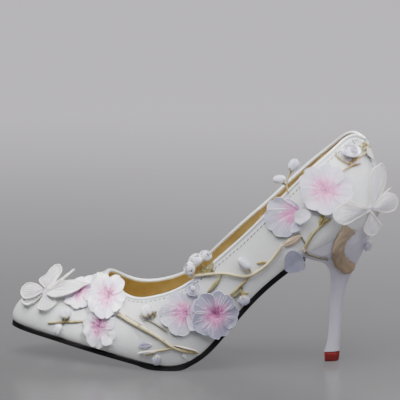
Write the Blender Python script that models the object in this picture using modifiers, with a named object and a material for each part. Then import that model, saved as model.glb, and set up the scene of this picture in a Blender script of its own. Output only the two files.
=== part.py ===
"""A white pointed-toe court shoe on a slim high heel, dressed with sewn-on blossom and sheer butterflies.

It is a left shoe. Blender's units are metres and +Z is up, and every size below is in millimetres.
The toe points along -X and the outer side of the foot faces -Y. The origin is on the floor, under the
middle of the forefoot tread.
"""

import math

import bmesh
import bpy
import numpy as np
from mathutils import Vector
from mathutils.bvhtree import BVHTree

MM = 0.001
GAP = 0.3
TINY = 1e-6
MERGE_REACH = 0.02
SHARP_ANGLE = 40.0

# The plain finish of each kind of piece.
FINISH_COLUMNS = ("name", "colour", "roughness")
FINISHES = (
    ("white_leather", (0.86, 0.87, 0.88), 0.32),
    ("tan_lining", (0.55, 0.37, 0.14), 0.55),
    ("black_sole", (0.012, 0.012, 0.014), 0.45),
    ("white_heel", (0.84, 0.82, 0.86), 0.3),
    ("red_top_lift", (0.42, 0.025, 0.02), 0.35),
    ("blossom_white", (0.88, 0.86, 0.9), 0.6),
    ("branch_gold", (0.55, 0.46, 0.24), 0.5),
    ("trunk_tan", (0.3, 0.2, 0.11), 0.6),
    ("butterfly_gauze", (0.9, 0.9, 0.92), 0.5),
)

# Plan and side of the last, a row for each section: where the section meets the feather edge, how far
# that edge is from the heel's centre line on the outer and inner side of the foot, and its height.
LAST_COLUMNS = ("x", "outer", "inner", "feather_z")
LAST = (
    (137.0, 0.0, 0.0, 93.5),
    (118.0, 22.0, 21.6, 88.2),
    (98.0, 24.5, 24.0, 79.2),
    (80.0, 23.6, 22.0, 66.6),
    (62.0, 23.2, 20.4, 50.6),
    (45.0, 25.6, 21.8, 31.6),
    (30.0, 31.0, 27.4, 14.4),
    (15.0, 35.6, 34.0, 5.2),
    (0.0, 36.6, 37.8, 3.9),
    (-18.0, 34.2, 38.6, 6.9),
    (-45.0, 25.4, 33.2, 11.4),
    (-75.0, 14.2, 22.4, 16.8),
    (-95.0, 5.8, 13.6, 20.4),
    (-103.5, -4.0, 4.0, 22.0),
)

# Crown of the last, where the two sides of a section meet on top. Behind the throat it is open air.
RIDGE_COLUMNS = ("x", "y", "z")
RIDGE = (
    (-84.0, 4.0, 41.6),
    (-60.0, 3.0, 49.2),
    (-40.0, 2.0, 56.4),
    (-20.0, 1.0, 65.0),
    (0.0, 0.5, 77.0),
    (30.0, 0.0, 106.0),
    (60.0, 0.0, 142.0),
    (100.0, 0.0, 171.0),
)

# Fullness of the section over each part of the foot: the power of its superellipse and its side bulge.
FULLNESS_COLUMNS = ("x", "power", "bulge")
FULLNESS = (
    (-103.5, 2.1, 0.9),
    (-45.0, 2.15, 1.8),
    (0.0, 2.25, 2.4),
    (50.0, 2.3, 1.2),
    (105.0, 2.4, 3.2),
    (137.0, 2.3, 3.4),
)
BULGE_AT = 0.25

# Topline seen from the side, from the throat over the low waist of the opening to the back. The inner
# side of the foot has the higher waist.
TOPLINE_COLUMNS = ("x", "outer_z", "inner_z")
TOPLINE = (
    (-40.0, 56.4, 56.4),
    (-30.0, 50.0, 47.8),
    (-18.0, 45.6, 43.8),
    (-4.0, 47.2, 45.2),
    (16.0, 55.0, 54.4),
    (32.0, 67.4, 70.0),
    (50.0, 83.2, 88.0),
    (70.0, 103.6, 106.0),
    (90.0, 124.8, 125.2),
    (111.0, 143.8, 143.4),
    (122.0, 150.8, 150.4),
    (130.0, 147.2, 147.2),
)

# The search for the topline on a section: the lift it starts at, and how often it is halved.
LEAST_CUT = 0.2
HALVINGS = 40

WALL = 1.6
OUTSOLE_THICK = 3.4
OUTSOLE_MARGIN = 0.5
OUTSOLE_EDGE_ROUND = 0.5
OUTSOLE_TOE_TURN = 0.06
TREAD_LEVEL = 1.1
BREAST_X = 91.0
INSOLE_THICK = 2.4
INSOLE_EASE = 0.2
INSOLE_EDGE_ROUND = 0.4
INSOLE_HEEL_TURN = 0.08
INSOLE_TOE_TURN = 0.1

# The least angle between the end of a sole plate and the station next to it.
END_SPACE = 0.04

# Stations round half the outline: heel seat, open side behind the throat, closed vamp.
SEAT_STATIONS = 8
SIDE_STATIONS = 18
VAMP_STATIONS = 10
WALL_ROWS = 9

# The form that trim is laid on is the same last, more finely stepped.
FORM_STATIONS = 180
FORM_ROWS = 40
FORM_SKIRT = 30.0
SEAT_SKIRT = 0.1
RAY_START = -200.0
TOUCH_SPREAD = 1.5
DRAPE_REACH = 25.0
DRAPE_SPREAD = 1.2

# Heel seen from the side, a row for each section from under the seat to the top lift.
HEEL_COLUMNS = ("front_x", "front_z", "back_x", "back_z", "half_width")
HEEL = (
    (96.5, 71.6, 135.4, 87.0, 21.0),
    (102.5, 69.4, 132.0, 79.5, 16.0),
    (106.4, 65.6, 128.2, 71.0, 11.6),
    (108.3, 60.0, 124.4, 63.0, 8.8),
    (108.7, 53.0, 120.6, 54.6, 6.9),
    (108.5, 45.0, 118.0, 45.6, 5.7),
    (108.3, 33.0, 116.5, 33.2, 5.0),
    (107.8, 21.0, 116.0, 21.0, 4.7),
    (106.7, 12.0, 115.6, 12.0, 4.8),
    (105.3, 6.9, 115.4, 6.9, 5.1),
)

# Top lift, a row for each of its rings.
LIFT_COLUMNS = ("height", "inset")
LIFT = ((6.6, 0.0), (0.6, 0.5), (0.0, 0.9))

# Rolled edge sewn over the topline, as the points of its section.
BINDING_COLUMNS = ("out_from_wall", "past_edge")
BINDING_SECTION = ((0.4, 0.3), (0.5, 0.8), (0.0, 1.4), (-1.6, 1.4), (-2.1, 0.8), (-2.0, 0.3))
STRIP_LOW_TURN = 0.13
STRIP_HIGH_TURN = 0.28
STRIP_ROWS = 9
STRIP_COLUMNS = 6
STRIP_END = 0.035
STRIP_CLEAR = 0.45
STRIP_THICK = 0.5

# Five-petal blossoms, placed in the view from the outer side. The petals stand off round a middle that
# touches the leather, and cup outwards to the tips.
BLOSSOM_COLUMNS = ("name", "x", "z", "radius", "turn_deg", "stand", "cup")
BLOSSOMS = (
    ("toe", -55.0, 46.0, 13.0, 20.0, 0.3, 0.6),
    ("throat", -35.0, 44.2, 14.5, 14.0, 2.2, 1.2),
    ("vamp", -40.0, 26.0, 13.0, 0.0, 0.4, 0.8),
    ("waist", 14.0, 38.3, 14.4, 10.0, 0.3, 0.6),
    ("arch", 35.0, 37.0, 16.0, 30.0, 2.2, 1.2),
    ("quarter", 78.6, 100.0, 13.5, 15.0, 0.4, 0.8),
    ("counter", 104.5, 118.4, 16.5, 36.0, 2.0, 1.2),
)
PETALS = 5
PETAL_EDGE_COLUMNS = ("share_round", "share_out")
PETAL_EDGE = ((0.0, 0.55), (0.13, 0.85), (0.31, 1.0), (0.5, 0.93), (0.69, 1.0), (0.87, 0.85))
PETAL_ROOT = 0.35
PETAL_RINGS = (0.0, PETAL_ROOT, 0.7, 1.0)
PETAL_THICK = 0.8

# Petals that stand up off the shoe, counted round their blossom, and how far their tips rise.
RAISED_COLUMNS = ("blossom", "petal", "raise")
RAISED_PETALS = (("throat", 1, 6.0),)

# Buds and loose petals, in the same view. Rise lifts one clear of what it lies over.
BUD_COLUMNS = ("name", "x", "z", "long", "wide", "thick", "turn_deg", "rise")
BUDS = (
    ("toe_upper", -63.4, 31.4, 9.0, 6.8, 4.0, 0.0, 0.0),
    ("toe_lower", -68.6, 21.6, 7.6, 5.6, 3.4, 46.0, 0.0),
    ("vamp", -8.0, 38.8, 9.0, 7.6, 4.0, 20.0, 0.0),
    ("tread", -1.8, 8.4, 8.0, 5.4, 3.4, 50.0, 0.1),
    ("topline_1", 22.6, 70.5, 8.0, 8.0, 5.0, 0.0, 0.4),
    ("topline_2", 28.7, 73.3, 6.4, 6.4, 4.6, 0.0, 0.4),
    ("topline_3", 18.6, 65.0, 7.0, 7.0, 4.6, 0.0, 0.4),
    ("waist", 20.7, 53.2, 7.5, 7.5, 3.0, 0.0, 1.5),
    ("arch", 52.9, 45.6, 8.0, 7.0, 3.0, 30.0, 0.3),
    ("quarter", 53.2, 69.5, 10.0, 5.6, 4.0, 135.0, 0.2),
    ("rose", 119.3, 141.6, 11.0, 10.4, 5.0, 0.0, 0.3),
    ("heel_back", 131.0, 79.5, 7.6, 7.4, 4.0, 0.0, 0.2),
    ("breast_petal", 85.0, 72.4, 16.0, 11.0, 2.5, 68.0, 1.0),
    ("counter_petal", 91.0, 101.3, 10.0, 8.0, 1.6, 30.0, 2.3),
    ("spray_low", 76.0, 123.2, 8.6, 5.6, 4.0, 0.0, 0.4),
    ("spray_high", 84.8, 132.4, 8.6, 7.0, 3.4, 50.0, 0.4),
)

# Stitched branches as cords on the leather: the cord's radius at both ends, its rise, and its route.
BRANCH_COLUMNS = ("name", "start_radius", "end_radius", "rise", "route")
BRANCHES = (
    ("toe", 0.7, 0.8, 0.0, ((-77.0, 24.6), (-66.0, 26.4), (-55.0, 27.8))),
    ("vamp", 1.4, 0.9, 0.0, ((-28.0, 35.8), (-12.4, 28.7), (0.7, 21.9), (8.0, 17.0), (24.3, 12.1))),
    ("vamp_fork", 0.8, 0.7, 0.0, ((5.0, 15.2), (-2.8, 13.8), (-13.6, 11.8))),
    ("vamp_twig", 0.5, 0.6, 0.0, ((-11.2, 34.6), (-3.0, 31.2), (5.0, 26.6))),
    (
        "topline",
        1.0,
        1.0,
        0.6,
        (
            (17.4, 60.4),
            (24.0, 61.4),
            (30.8, 62.2),
            (40.4, 62.6),
            (56.7, 61.5),
            (63.5, 65.3),
            (68.3, 69.3),
            (78.0, 82.5),
        ),
    ),
    ("topline_fork", 0.7, 0.6, 0.0, ((37.2, 59.6), (35.7, 55.9), (29.5, 50.5))),
    ("arch_fork", 0.8, 0.6, 0.3, ((54.6, 58.4), (48.0, 52.3), (43.1, 48.3))),
    ("quarter_leaf", 1.2, 0.6, 0.0, ((80.6, 83.8), (84.4, 85.8), (88.3, 87.9))),
    ("counter", 0.9, 0.8, 0.0, ((91.6, 79.4), (93.5, 83.5), (100.0, 93.4), (108.5, 100.2))),
    ("seat", 0.7, 0.6, 0.5, ((93.4, 76.8), (100.0, 74.2), (107.0, 71.8))),
    ("collar_front", 0.8, 0.7, 0.0, ((111.0, 139.5), (112.8, 138.0), (117.4, 134.6))),
    ("collar_low", 0.8, 0.7, 0.3, ((114.8, 129.4), (120.0, 132.2), (126.7, 133.6))),
    ("collar_middle", 0.7, 0.7, 1.1, ((121.4, 135.4), (124.4, 136.8), (130.0, 140.6))),
    ("collar_high", 0.6, 0.6, 1.1, ((126.2, 143.8), (128.0, 143.0), (130.6, 144.2))),
    ("spray", 0.6, 0.6, 0.7, ((81.6, 114.6), (80.4, 119.8), (81.4, 124.6), (83.0, 128.4))),
)
BRANCH_STEP = 5.0
BRANCH_LEAST_POINTS = 3

# The broad stitched trunk that wraps the top of the heel.
TRUNK_COLUMNS = ("x", "z", "width")
TRUNK = (
    (120.9, 93.2, 10.6),
    (115.6, 86.6, 7.8),
    (113.2, 78.6, 7.2),
    (114.0, 72.0, 8.4),
    (117.8, 66.0, 9.0),
    (122.2, 63.4, 7.6),
)
TRUNK_THICK = 1.2
TRUNK_CLEAR = 0.75
TRUNK_ROWS = 12
TRUNK_STRIPS = 3

# Butterflies: where the body sits in side view, then the wings by their tips, the way they face and
# the kind of their outline.
BUTTERFLY_COLUMNS = ("name", "x", "z", "turn_deg")
BUTTERFLIES = (
    ("toe", -79.0, 42.0, 40.0),
    ("heel", 133.0, 105.0, 120.0),
)
BODY_SIZES = (7.0, 2.4, 2.4)
BODY_RISE = 0.1
BALL_AROUND = 8
BALL_ALONG = 5
WING_COLUMNS = ("butterfly", "name", "tip", "width", "lift", "face", "kind")
WINGS = (
    ("toe", "upper", (-71.7, 5.9, 58.8), 12.0, 1.2, (-0.25, -0.75, 0.6), "fore"),
    ("toe", "front", (-96.2, 0.2, 41.4), 11.0, 2.2, (-0.25, -0.75, 0.6), "oval"),
    ("toe", "side", (-95.7, -4.6, 36.0), 8.0, 0.3, (-0.25, -0.75, 0.6), "oval"),
    ("toe", "low", (-77.1, -13.2, 32.8), 13.0, 0.7, (-0.25, -0.75, 0.6), "fan"),
    ("toe", "long", (-47.8, -12.4, 50.8), 11.5, 1.8, (-0.2, -0.62, 0.76), "blade"),
    ("heel", "upper", (139.5, -15.0, 134.0), 11.0, 1.0, (0.35, -0.93, 0.1), "oval"),
    ("heel", "back", (150.5, -13.0, 111.0), 12.0, 1.2, (0.35, -0.93, 0.1), "oval"),
    ("heel", "low", (134.0, -17.0, 87.5), 10.0, 0.6, (0.35, -0.93, 0.1), "fan"),
    ("heel", "long", (109.0, -36.0, 103.0), 13.0, 0.8, (0.1, -0.98, 0.15), "fan"),
)
WING_THICK = 0.6
WING_ROOT_GAP = 0.7
WING_STRIPS = 4
WING_CAMBER = 0.08

# Outlines of the wings with their tips upwards: the width left and right of the middle line.
WING_SHAPE_COLUMNS = ("share_along", "left", "right")
WING_SHAPES = {
    "oval": ((0.0, 0.14, 0.14), (0.18, 0.52, 0.52), (0.4, 0.86, 0.86), (0.64, 1.0, 1.0), (0.86, 0.78, 0.78),
             (1.0, 0.3, 0.3)),
    "fore": ((0.0, 0.2, 0.14), (0.16, 1.3, 0.45), (0.38, 1.1, 0.52), (0.6, 0.8, 0.52), (0.84, 0.48, 0.46),
             (1.0, 0.15, 0.15)),
    "fan": ((0.0, 0.12, 0.12), (0.2, 0.4, 0.4), (0.5, 0.76, 0.76), (0.78, 1.0, 1.0), (1.0, 0.64, 0.64)),
    "blade": ((0.0, 0.3, 0.3), (0.12, 0.7, 0.8), (0.32, 0.95, 1.0), (0.62, 0.9, 0.9), (0.86, 0.6, 0.66),
              (1.0, 0.3, 0.34)),
}


def smooth_curve(knots, values):
    """A natural cubic spline through the knots, as a function that also takes arrays."""
    knots = np.asarray(knots, float)
    values = np.asarray(values, float)
    order = np.argsort(knots)
    knots = knots[order]
    values = values[order]
    step = np.diff(knots)
    rise = np.diff(values) / step
    count = len(knots)
    system = np.eye(count)
    target = np.zeros(count)
    for i in range(1, count - 1):
        system[i, i - 1 : i + 2] = step[i - 1], 2 * (step[i - 1] + step[i]), step[i]
        target[i] = 6 * (rise[i] - rise[i - 1])
    bend = np.linalg.solve(system, target)

    def value(at):
        i = np.clip(np.searchsorted(knots, at) - 1, 0, count - 2)
        a = knots[i + 1] - at
        b = at - knots[i]
        curved = (bend[i] * a**3 + bend[i + 1] * b**3) / (6 * step[i])
        straight = (values[i] / step[i] - bend[i] * step[i] / 6) * a
        return curved + straight + (values[i + 1] / step[i] - bend[i + 1] * step[i] / 6) * b

    return value


def column(table, names, name):
    return np.array([row[names.index(name)] for row in table], float)


HEEL_X = LAST[0][0]
TOE_X = LAST[-1][0]
MID_X = (HEEL_X + TOE_X) / 2
HALF_X = (HEEL_X - TOE_X) / 2


def turn_of(x):
    """Angle round the outline, from 0 at the back of the heel to pi at the toe, of a section at x."""
    return np.arccos(np.clip((np.asarray(x, float) - MID_X) / HALF_X, -1, 1))


def outline_curve():
    """The feather edge in plan, as y over the angle round the whole outline, outer side first."""
    turn = turn_of(column(LAST, LAST_COLUMNS, "x"))
    outer = -column(LAST, LAST_COLUMNS, "outer")
    inner = column(LAST, LAST_COLUMNS, "inner")
    around = np.concatenate([turn, 2 * np.pi - turn[-2:0:-1]])
    sides = np.concatenate([outer, inner[-2:0:-1]])
    knots = np.concatenate([around - 2 * np.pi, around, around + 2 * np.pi])
    return smooth_curve(knots, np.tile(sides, 3))


outline_y = outline_curve()
feather_z = smooth_curve(*(column(LAST, LAST_COLUMNS, n) for n in ("x", "feather_z")))
ridge_y = smooth_curve(*(column(RIDGE, RIDGE_COLUMNS, n) for n in ("x", "y")))
ridge_z = smooth_curve(*(column(RIDGE, RIDGE_COLUMNS, n) for n in ("x", "z")))
power_at = smooth_curve(*(column(FULLNESS, FULLNESS_COLUMNS, n) for n in ("x", "power")))
bulge_at = smooth_curve(*(column(FULLNESS, FULLNESS_COLUMNS, n) for n in ("x", "bulge")))
topline_outer = smooth_curve(*(column(TOPLINE, TOPLINE_COLUMNS, n) for n in ("x", "outer_z")))
topline_inner = smooth_curve(*(column(TOPLINE, TOPLINE_COLUMNS, n) for n in ("x", "inner_z")))


def feather_point(turn):
    x = MID_X + HALF_X * math.cos(turn)
    return np.array([x, float(outline_y(turn % (2 * math.pi))), float(feather_z(x))])


def outward(turn):
    """The outline's outward normal in plan."""
    step = 0.002
    along = feather_point(turn + step) - feather_point(turn - step)
    normal = np.array([-along[1], along[0], 0.0])
    return normal / np.linalg.norm(normal)


def ridge_point(x):
    """Where the section that meets the feather edge at x comes to the crown."""
    share = (x - TOE_X) / (HEEL_X - TOE_X)
    crown = RIDGE[0][0] + share * (RIDGE[-1][0] - RIDGE[0][0])
    return np.array([crown, float(ridge_y(crown)), float(ridge_z(crown))])


def section_at(ridge_x):
    """The feather edge's x of the section whose crown is at ridge_x."""
    share = (ridge_x - RIDGE[0][0]) / (RIDGE[-1][0] - RIDGE[0][0])
    return TOE_X + share * (HEEL_X - TOE_X)


def wall_point(turn, lift):
    """A point of the upper's outside: turn goes round the outline, lift from 0 at the sole to pi/2 on top."""
    foot = feather_point(turn)
    crown = ridge_point(foot[0])
    power = 2 / float(power_at(foot[0]))
    side = max(math.cos(lift), 0.0) ** power
    height = max(math.sin(lift), 0.0) ** power
    bump = float(bulge_at(foot[0])) * side * height / BULGE_AT * math.exp(1 - height / BULGE_AT)
    point = crown + (foot - crown) * side + outward(turn) * bump
    point[2] = foot[2] + (crown[2] - foot[2]) * height
    return point


def wall_normal(turn, lift):
    step = 0.01
    low, high = max(lift - step, 0.0), min(lift + step, math.pi / 2)
    up = wall_point(turn, high) - wall_point(turn, low)
    along = wall_point(turn + step, lift) - wall_point(turn - step, lift)
    normal = np.cross(up, along)
    return normal / np.linalg.norm(normal)


def topline_lift(turn):
    """The lift at which the opening cuts the section, or pi/2 where the vamp is closed."""
    low, high = LEAST_CUT, math.pi / 2
    topline = topline_outer if turn <= math.pi else topline_inner
    if ridge_point(feather_point(turn)[0])[0] <= TOPLINE[0][0] + TINY:
        return high
    for _ in range(HALVINGS):
        middle = (low + high) / 2
        point = wall_point(turn, middle)
        if point[2] > float(topline(point[0])):
            high = middle
        else:
            low = middle
    return low


def stations():
    """Angles from the back of the heel to the toe, close together behind the throat."""
    breast = float(turn_of(BREAST_X))
    throat = float(turn_of(section_at(TOPLINE[0][0])))
    seat = [breast * i / SEAT_STATIONS for i in range(SEAT_STATIONS)]
    ease = [math.sin(math.pi / 2 * i / SIDE_STATIONS) for i in range(SIDE_STATIONS)]
    open_side = [breast + (throat - breast) * share for share in ease]
    vamp = [throat + (math.pi - throat) * i / VAMP_STATIONS for i in range(VAMP_STATIONS + 1)]
    return seat + open_side + vamp


STATIONS = stations()
ROUND = STATIONS + [2 * math.pi - turn for turn in STATIONS[-2:0:-1]]


def material(name, colour, roughness):
    made = bpy.data.materials.new(name)
    made.use_nodes = True
    shader = made.node_tree.nodes["Principled BSDF"]
    shader.inputs["Base Color"].default_value = (*colour, 1.0)
    shader.inputs["Roughness"].default_value = roughness
    shader.inputs["Metallic"].default_value = 0.0
    return made


def add_object(name, mesh, collection, finish):
    made = bpy.data.objects.new(name, mesh)
    collection.objects.link(made)
    mesh.materials.append(finish)
    mesh.shade_smooth()
    mesh.set_sharp_from_angle(angle=math.radians(SHARP_ANGLE))
    return made


def in_metres(point):
    return Vector(point) * MM


def grid_mesh(name, rows, closed_round=False):
    """A surface through rows of points, each row one line across it, with coincident points merged."""
    bm = bmesh.new()
    verts = [[bm.verts.new(in_metres(p)) for p in row] for row in rows]
    last = len(verts) if closed_round else len(verts) - 1
    for i in range(last):
        here, there = verts[i], verts[(i + 1) % len(verts)]
        for j in range(len(here) - 1):
            bm.faces.new((here[j], here[j + 1], there[j + 1], there[j]))
    bmesh.ops.remove_doubles(bm, verts=bm.verts, dist=MERGE_REACH * MM)
    mesh = bpy.data.meshes.new(name)
    bm.to_mesh(mesh)
    bm.free()
    return mesh


def loft_mesh(name, rings, closed_round=False):
    """A solid through closed rings of points. Its ends are zipped across, so a bent end stays bent."""
    bm = bmesh.new()
    verts = [[bm.verts.new(in_metres(p)) for p in ring] for ring in rings]
    count = len(verts[0])
    last = len(verts) if closed_round else len(verts) - 1
    for i in range(last):
        here, there = verts[i], verts[(i + 1) % len(verts)]
        for j in range(count):
            k = (j + 1) % count
            bm.faces.new((here[j], here[k], there[k], there[j]))
    if not closed_round:
        for ring in (verts[0], verts[-1]):
            zip_across(bm, ring)
    bmesh.ops.recalc_face_normals(bm, faces=bm.faces)
    mesh = bpy.data.meshes.new(name)
    bm.to_mesh(mesh)
    bm.free()
    return mesh


def zip_across(bm, ring):
    """Closes a ring with strips from each point to the one opposite it."""
    left, right = 0, len(ring) - 1
    while right - left > 2:
        bm.faces.new((ring[left], ring[left + 1], ring[right - 1], ring[right]))
        left += 1
        right -= 1
    if right - left == 2:
        bm.faces.new((ring[left], ring[left + 1], ring[right]))


def build_upper(collection, finish):
    rows = []
    for turn in ROUND:
        top = topline_lift(turn)
        rows.append([wall_point(turn, top * j / WALL_ROWS) for j in range(WALL_ROWS + 1)])
    upper = add_object("upper", grid_mesh("upper", rows, closed_round=True), collection, finish)
    shell = upper.modifiers.new("Wall", "SOLIDIFY")
    shell.thickness = WALL * MM
    shell.offset = -1.0
    shell.use_even_offset = True
    return upper


def sole_down(turn):
    """The unit normal that points down and out of the sole at a station."""
    step = 0.1
    x = MID_X + HALF_X * math.cos(turn)
    slope = float(feather_z(x + step) - feather_z(x - step)) / (2 * step)
    return np.array([slope, 0.0, -1.0]) / math.hypot(slope, 1.0)


def plan_offset(turn, distance):
    """The feather edge moved outwards in plan, at the height that the sole has there."""
    point = feather_point(turn) + outward(turn) * distance
    point[2] = float(feather_z(point[0]))
    return point


# Points of a sole plate's ring, which starts on top of the outer edge and goes round underneath.
LOW_EDGES = (2, 5)
UNDERSIDE = (3, 4)


def sole_plate(turns, margin, top, thickness, edge_round):
    """Rings of a plate that follows the sole, top above the feather line, from the rear to the toe."""
    rings = []
    for turn in turns:
        down = sole_down(turn)
        outer = plan_offset(turn, margin)
        inner = plan_offset(2 * math.pi - turn, margin)
        inward = (inner - outer) / max(np.linalg.norm(inner - outer), TINY) * edge_round
        ring = []
        for depth, inset in ((0, 1), (edge_round, 0), (thickness - edge_round, 0), (thickness, 1)):
            ring.append(outer + down * (depth - top) + inward * inset)
        for depth, inset in ((thickness, 1), (thickness - edge_round, 0), (edge_round, 0), (0, 1)):
            ring.append(inner + down * (depth - top) - inward * inset)
        rings.append(ring)
    return rings


def stations_between(first, last):
    """Two angles with the stations that lie well between them."""
    return [first] + [turn for turn in STATIONS if first + END_SPACE < turn < last - END_SPACE] + [last]


def build_outsole(collection, finish):
    turns = stations_between(float(turn_of(BREAST_X - GAP)), math.pi - OUTSOLE_TOE_TURN)
    rings = sole_plate(turns, OUTSOLE_MARGIN, -GAP, OUTSOLE_THICK, OUTSOLE_EDGE_ROUND)
    for ring in rings:
        if ring[UNDERSIDE[0]][2] < TREAD_LEVEL:
            for corner in UNDERSIDE:
                ring[corner][2] = 0.0
            for corner in LOW_EDGES:
                ring[corner][2] = OUTSOLE_EDGE_ROUND
    return add_object("outsole", loft_mesh("outsole", rings), collection, finish)


def build_insole(collection, finish):
    turns = stations_between(INSOLE_HEEL_TURN, math.pi - INSOLE_TOE_TURN)
    margin = -(WALL + GAP + INSOLE_EASE)
    rings = sole_plate(turns, margin, INSOLE_THICK + INSOLE_EASE, INSOLE_THICK, INSOLE_EDGE_ROUND)
    return add_object("insole", loft_mesh("insole", rings), collection, finish)


def heel_rings():
    """Rings down the heel, each one the seat's outline drawn in to the section in the table."""
    turns = [turn for turn in STATIONS if turn <= float(turn_of(BREAST_X)) + TINY]
    seat = [plan_offset(turn, 0.0) for turn in reversed(turns)]
    seat += [plan_offset(2 * math.pi - turn, 0.0) for turn in turns[1:]]
    for point in seat:
        point[2] -= GAP
    widest = max(abs(point[1]) for point in seat)
    rings = [seat]
    for front_x, front_z, back_x, back_z, half_width in HEEL:
        ring = []
        for point in seat:
            share = (point[0] - BREAST_X) / (HEEL_X - BREAST_X)
            x = front_x + share * (back_x - front_x)
            z = front_z + share * (back_z - front_z)
            ring.append(np.array([x, point[1] / widest * half_width, z]))
        rings.append(ring)
    return rings


def build_heel(collection, finish):
    return add_object("heel", loft_mesh("heel", heel_rings()), collection, finish)


def build_top_lift(collection, finish):
    heel_end = heel_rings()[-1]
    middle = np.mean(heel_end, axis=0)
    rings = []
    for height, inset in LIFT:
        ring = []
        for point in heel_end:
            away = point - middle
            away[2] = 0.0
            moved = point - away / np.linalg.norm(away) * inset
            moved[2] = height
            ring.append(moved)
        rings.append(ring)
    return add_object("top_lift", loft_mesh("top_lift", rings), collection, finish)


def build_form():
    """The last's whole outside, carried on above the opening and below the feather edge, and the heel."""
    points = []
    faces = []
    lifts = [math.pi / 2 * j / FORM_ROWS for j in range(FORM_ROWS + 1)]
    for i in range(FORM_STATIONS):
        turn = 2 * math.pi * i / FORM_STATIONS
        foot = feather_point(turn)
        drop = FORM_SKIRT if foot[0] < BREAST_X else SEAT_SKIRT
        points.append(foot - np.array([0.0, 0.0, drop]))
        points += [wall_point(turn, lift) for lift in lifts]
    wide = FORM_ROWS + 2
    for i in range(FORM_STATIONS):
        here, there = wide * i, wide * ((i + 1) % FORM_STATIONS)
        for j in range(wide - 1):
            faces.append((here + j, here + j + 1, there + j + 1, there + j))
    heel = heel_rings()
    start = len(points)
    around = len(heel[0])
    points += [point for ring in heel for point in ring]
    for i in range(len(heel) - 1):
        for j in range(around):
            here, there = start + around * i, start + around * (i + 1)
            k = (j + 1) % around
            faces.append((here + j, there + j, there + k, here + k))
    return BVHTree.FromPolygons([Vector(p) for p in points], faces)


def build_binding(collection, finish):
    """A rolled edge all round the opening, a gap clear of the wall's edge."""
    throat = float(turn_of(section_at(TOPLINE[0][0])))
    behind = [turn for turn in STATIONS if turn < throat + TINY]
    loop = behind[::-1] + [2 * math.pi - turn for turn in behind[1:-1]]
    edge = [wall_point(turn, topline_lift(turn)) for turn in loop]
    rings = []
    for i, turn in enumerate(loop):
        normal = wall_normal(turn, topline_lift(turn))
        along = edge[(i + 1) % len(edge)] - edge[i - 1]
        past = np.cross(normal, along)
        past /= np.linalg.norm(past)
        rings.append([edge[i] + normal * out + past * on for out, on in BINDING_SECTION])
    mesh = loft_mesh("topline_binding", rings, closed_round=True)
    return add_object("topline_binding", mesh, collection, finish)


def build_back_strip(collection, finish):
    """A strip over the back seam, narrower towards the seat."""
    rows = []
    for column_share in np.linspace(-1, 1, STRIP_COLUMNS + 1):
        row = []
        for j in range(STRIP_ROWS + 1):
            share = j / STRIP_ROWS
            turn = column_share * (STRIP_LOW_TURN + share * (STRIP_HIGH_TURN - STRIP_LOW_TURN))
            top = topline_lift(turn % (2 * math.pi)) - STRIP_END
            lift = STRIP_END + share * (top - STRIP_END)
            row.append(wall_point(turn, lift) + wall_normal(turn, lift) * STRIP_CLEAR)
        rows.append(row)
    strip = add_object("back_strip", grid_mesh("back_strip", rows), collection, finish)
    thicken(strip, STRIP_THICK, 1.0)
    return strip


def thicken(made, thickness, side):
    shell = made.modifiers.new("Thickness", "SOLIDIFY")
    shell.thickness = thickness * MM
    shell.offset = side


def touch(form, x, z):
    """The point of the form's outer side at x and z in side view, and the smoothed normal there."""
    hits = []
    for right, up in ((0, 0), (1, 0), (-1, 0), (0, 1), (0, -1)):
        start = Vector((x + right * TOUCH_SPREAD, RAY_START, z + up * TOUCH_SPREAD))
        place, normal, _, _ = form.ray_cast(start, Vector((0.0, 1.0, 0.0)))
        if place is not None:
            hits.append((place, normal))
    normal = sum((n for _, n in hits), Vector()).normalized()
    return hits[0][0], normal


def axes_on(normal, turn_deg):
    """Two directions in the plane across the normal, the first turned from the one nearest +X."""
    across = (Vector((1.0, 0.0, 0.0)) - normal * normal.x).normalized()
    upward = normal.cross(across)
    turn = math.radians(turn_deg)
    first = across * math.cos(turn) + upward * math.sin(turn)
    return first, normal.cross(first)


def drape(form, middle, normal, place, height):
    """A place in the plane across the normal, brought down on the form and then lifted off it."""
    hits = []
    first, second = (axis * DRAPE_SPREAD for axis in axes_on(normal, 0.0))
    for offset in (Vector(), first, -first, second, -second):
        spot = middle + place + offset
        hit, facing, _, _ = form.ray_cast(spot + normal * DRAPE_REACH, -normal, 2 * DRAPE_REACH)
        if hit is None:
            hit, facing = spot, normal
        hits.append((hit, facing))
    facing = sum((n for _, n in hits), Vector()).normalized()
    return hits[0][0] + facing * height


def petal_height(share, stand, cup):
    """How far a petal's underside is off the leather, at a share of the blossom's radius."""
    ease = min(share / PETAL_ROOT, 1.0)
    return GAP + stand * ease * ease * (3 - 2 * ease) + cup * share * share


def petal_raise(name, petal, share_round, share):
    """How much further off the leather a raised petal is there."""
    rises = [far for blossom, number, far in RAISED_PETALS if (blossom, number) == (name, petal)]
    return sum(rises) * math.sin(math.pi * share_round) * share * share


def build_blossom(form, row, collection, finish):
    name, x, z, radius, turn_deg, stand, cup = row
    middle, normal = touch(form, x, z)
    first, second = axes_on(normal, turn_deg)
    rows = []
    for petal in range(PETALS):
        for share_round, share_out in PETAL_EDGE:
            angle = 2 * math.pi * (petal + share_round) / PETALS
            spoke = first * math.cos(angle) + second * math.sin(angle)
            line = []
            for ring in PETAL_RINGS:
                out = ring * share_out
                height = petal_height(out, stand, cup) + petal_raise(name, petal, share_round, out)
                line.append(drape(form, middle, normal, spoke * radius * out, height))
            rows.append(line)
    label = "blossom_" + name
    made = add_object(label, grid_mesh(label, rows, closed_round=True), collection, finish)
    thicken(made, PETAL_THICK, 1.0)
    return made


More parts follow.
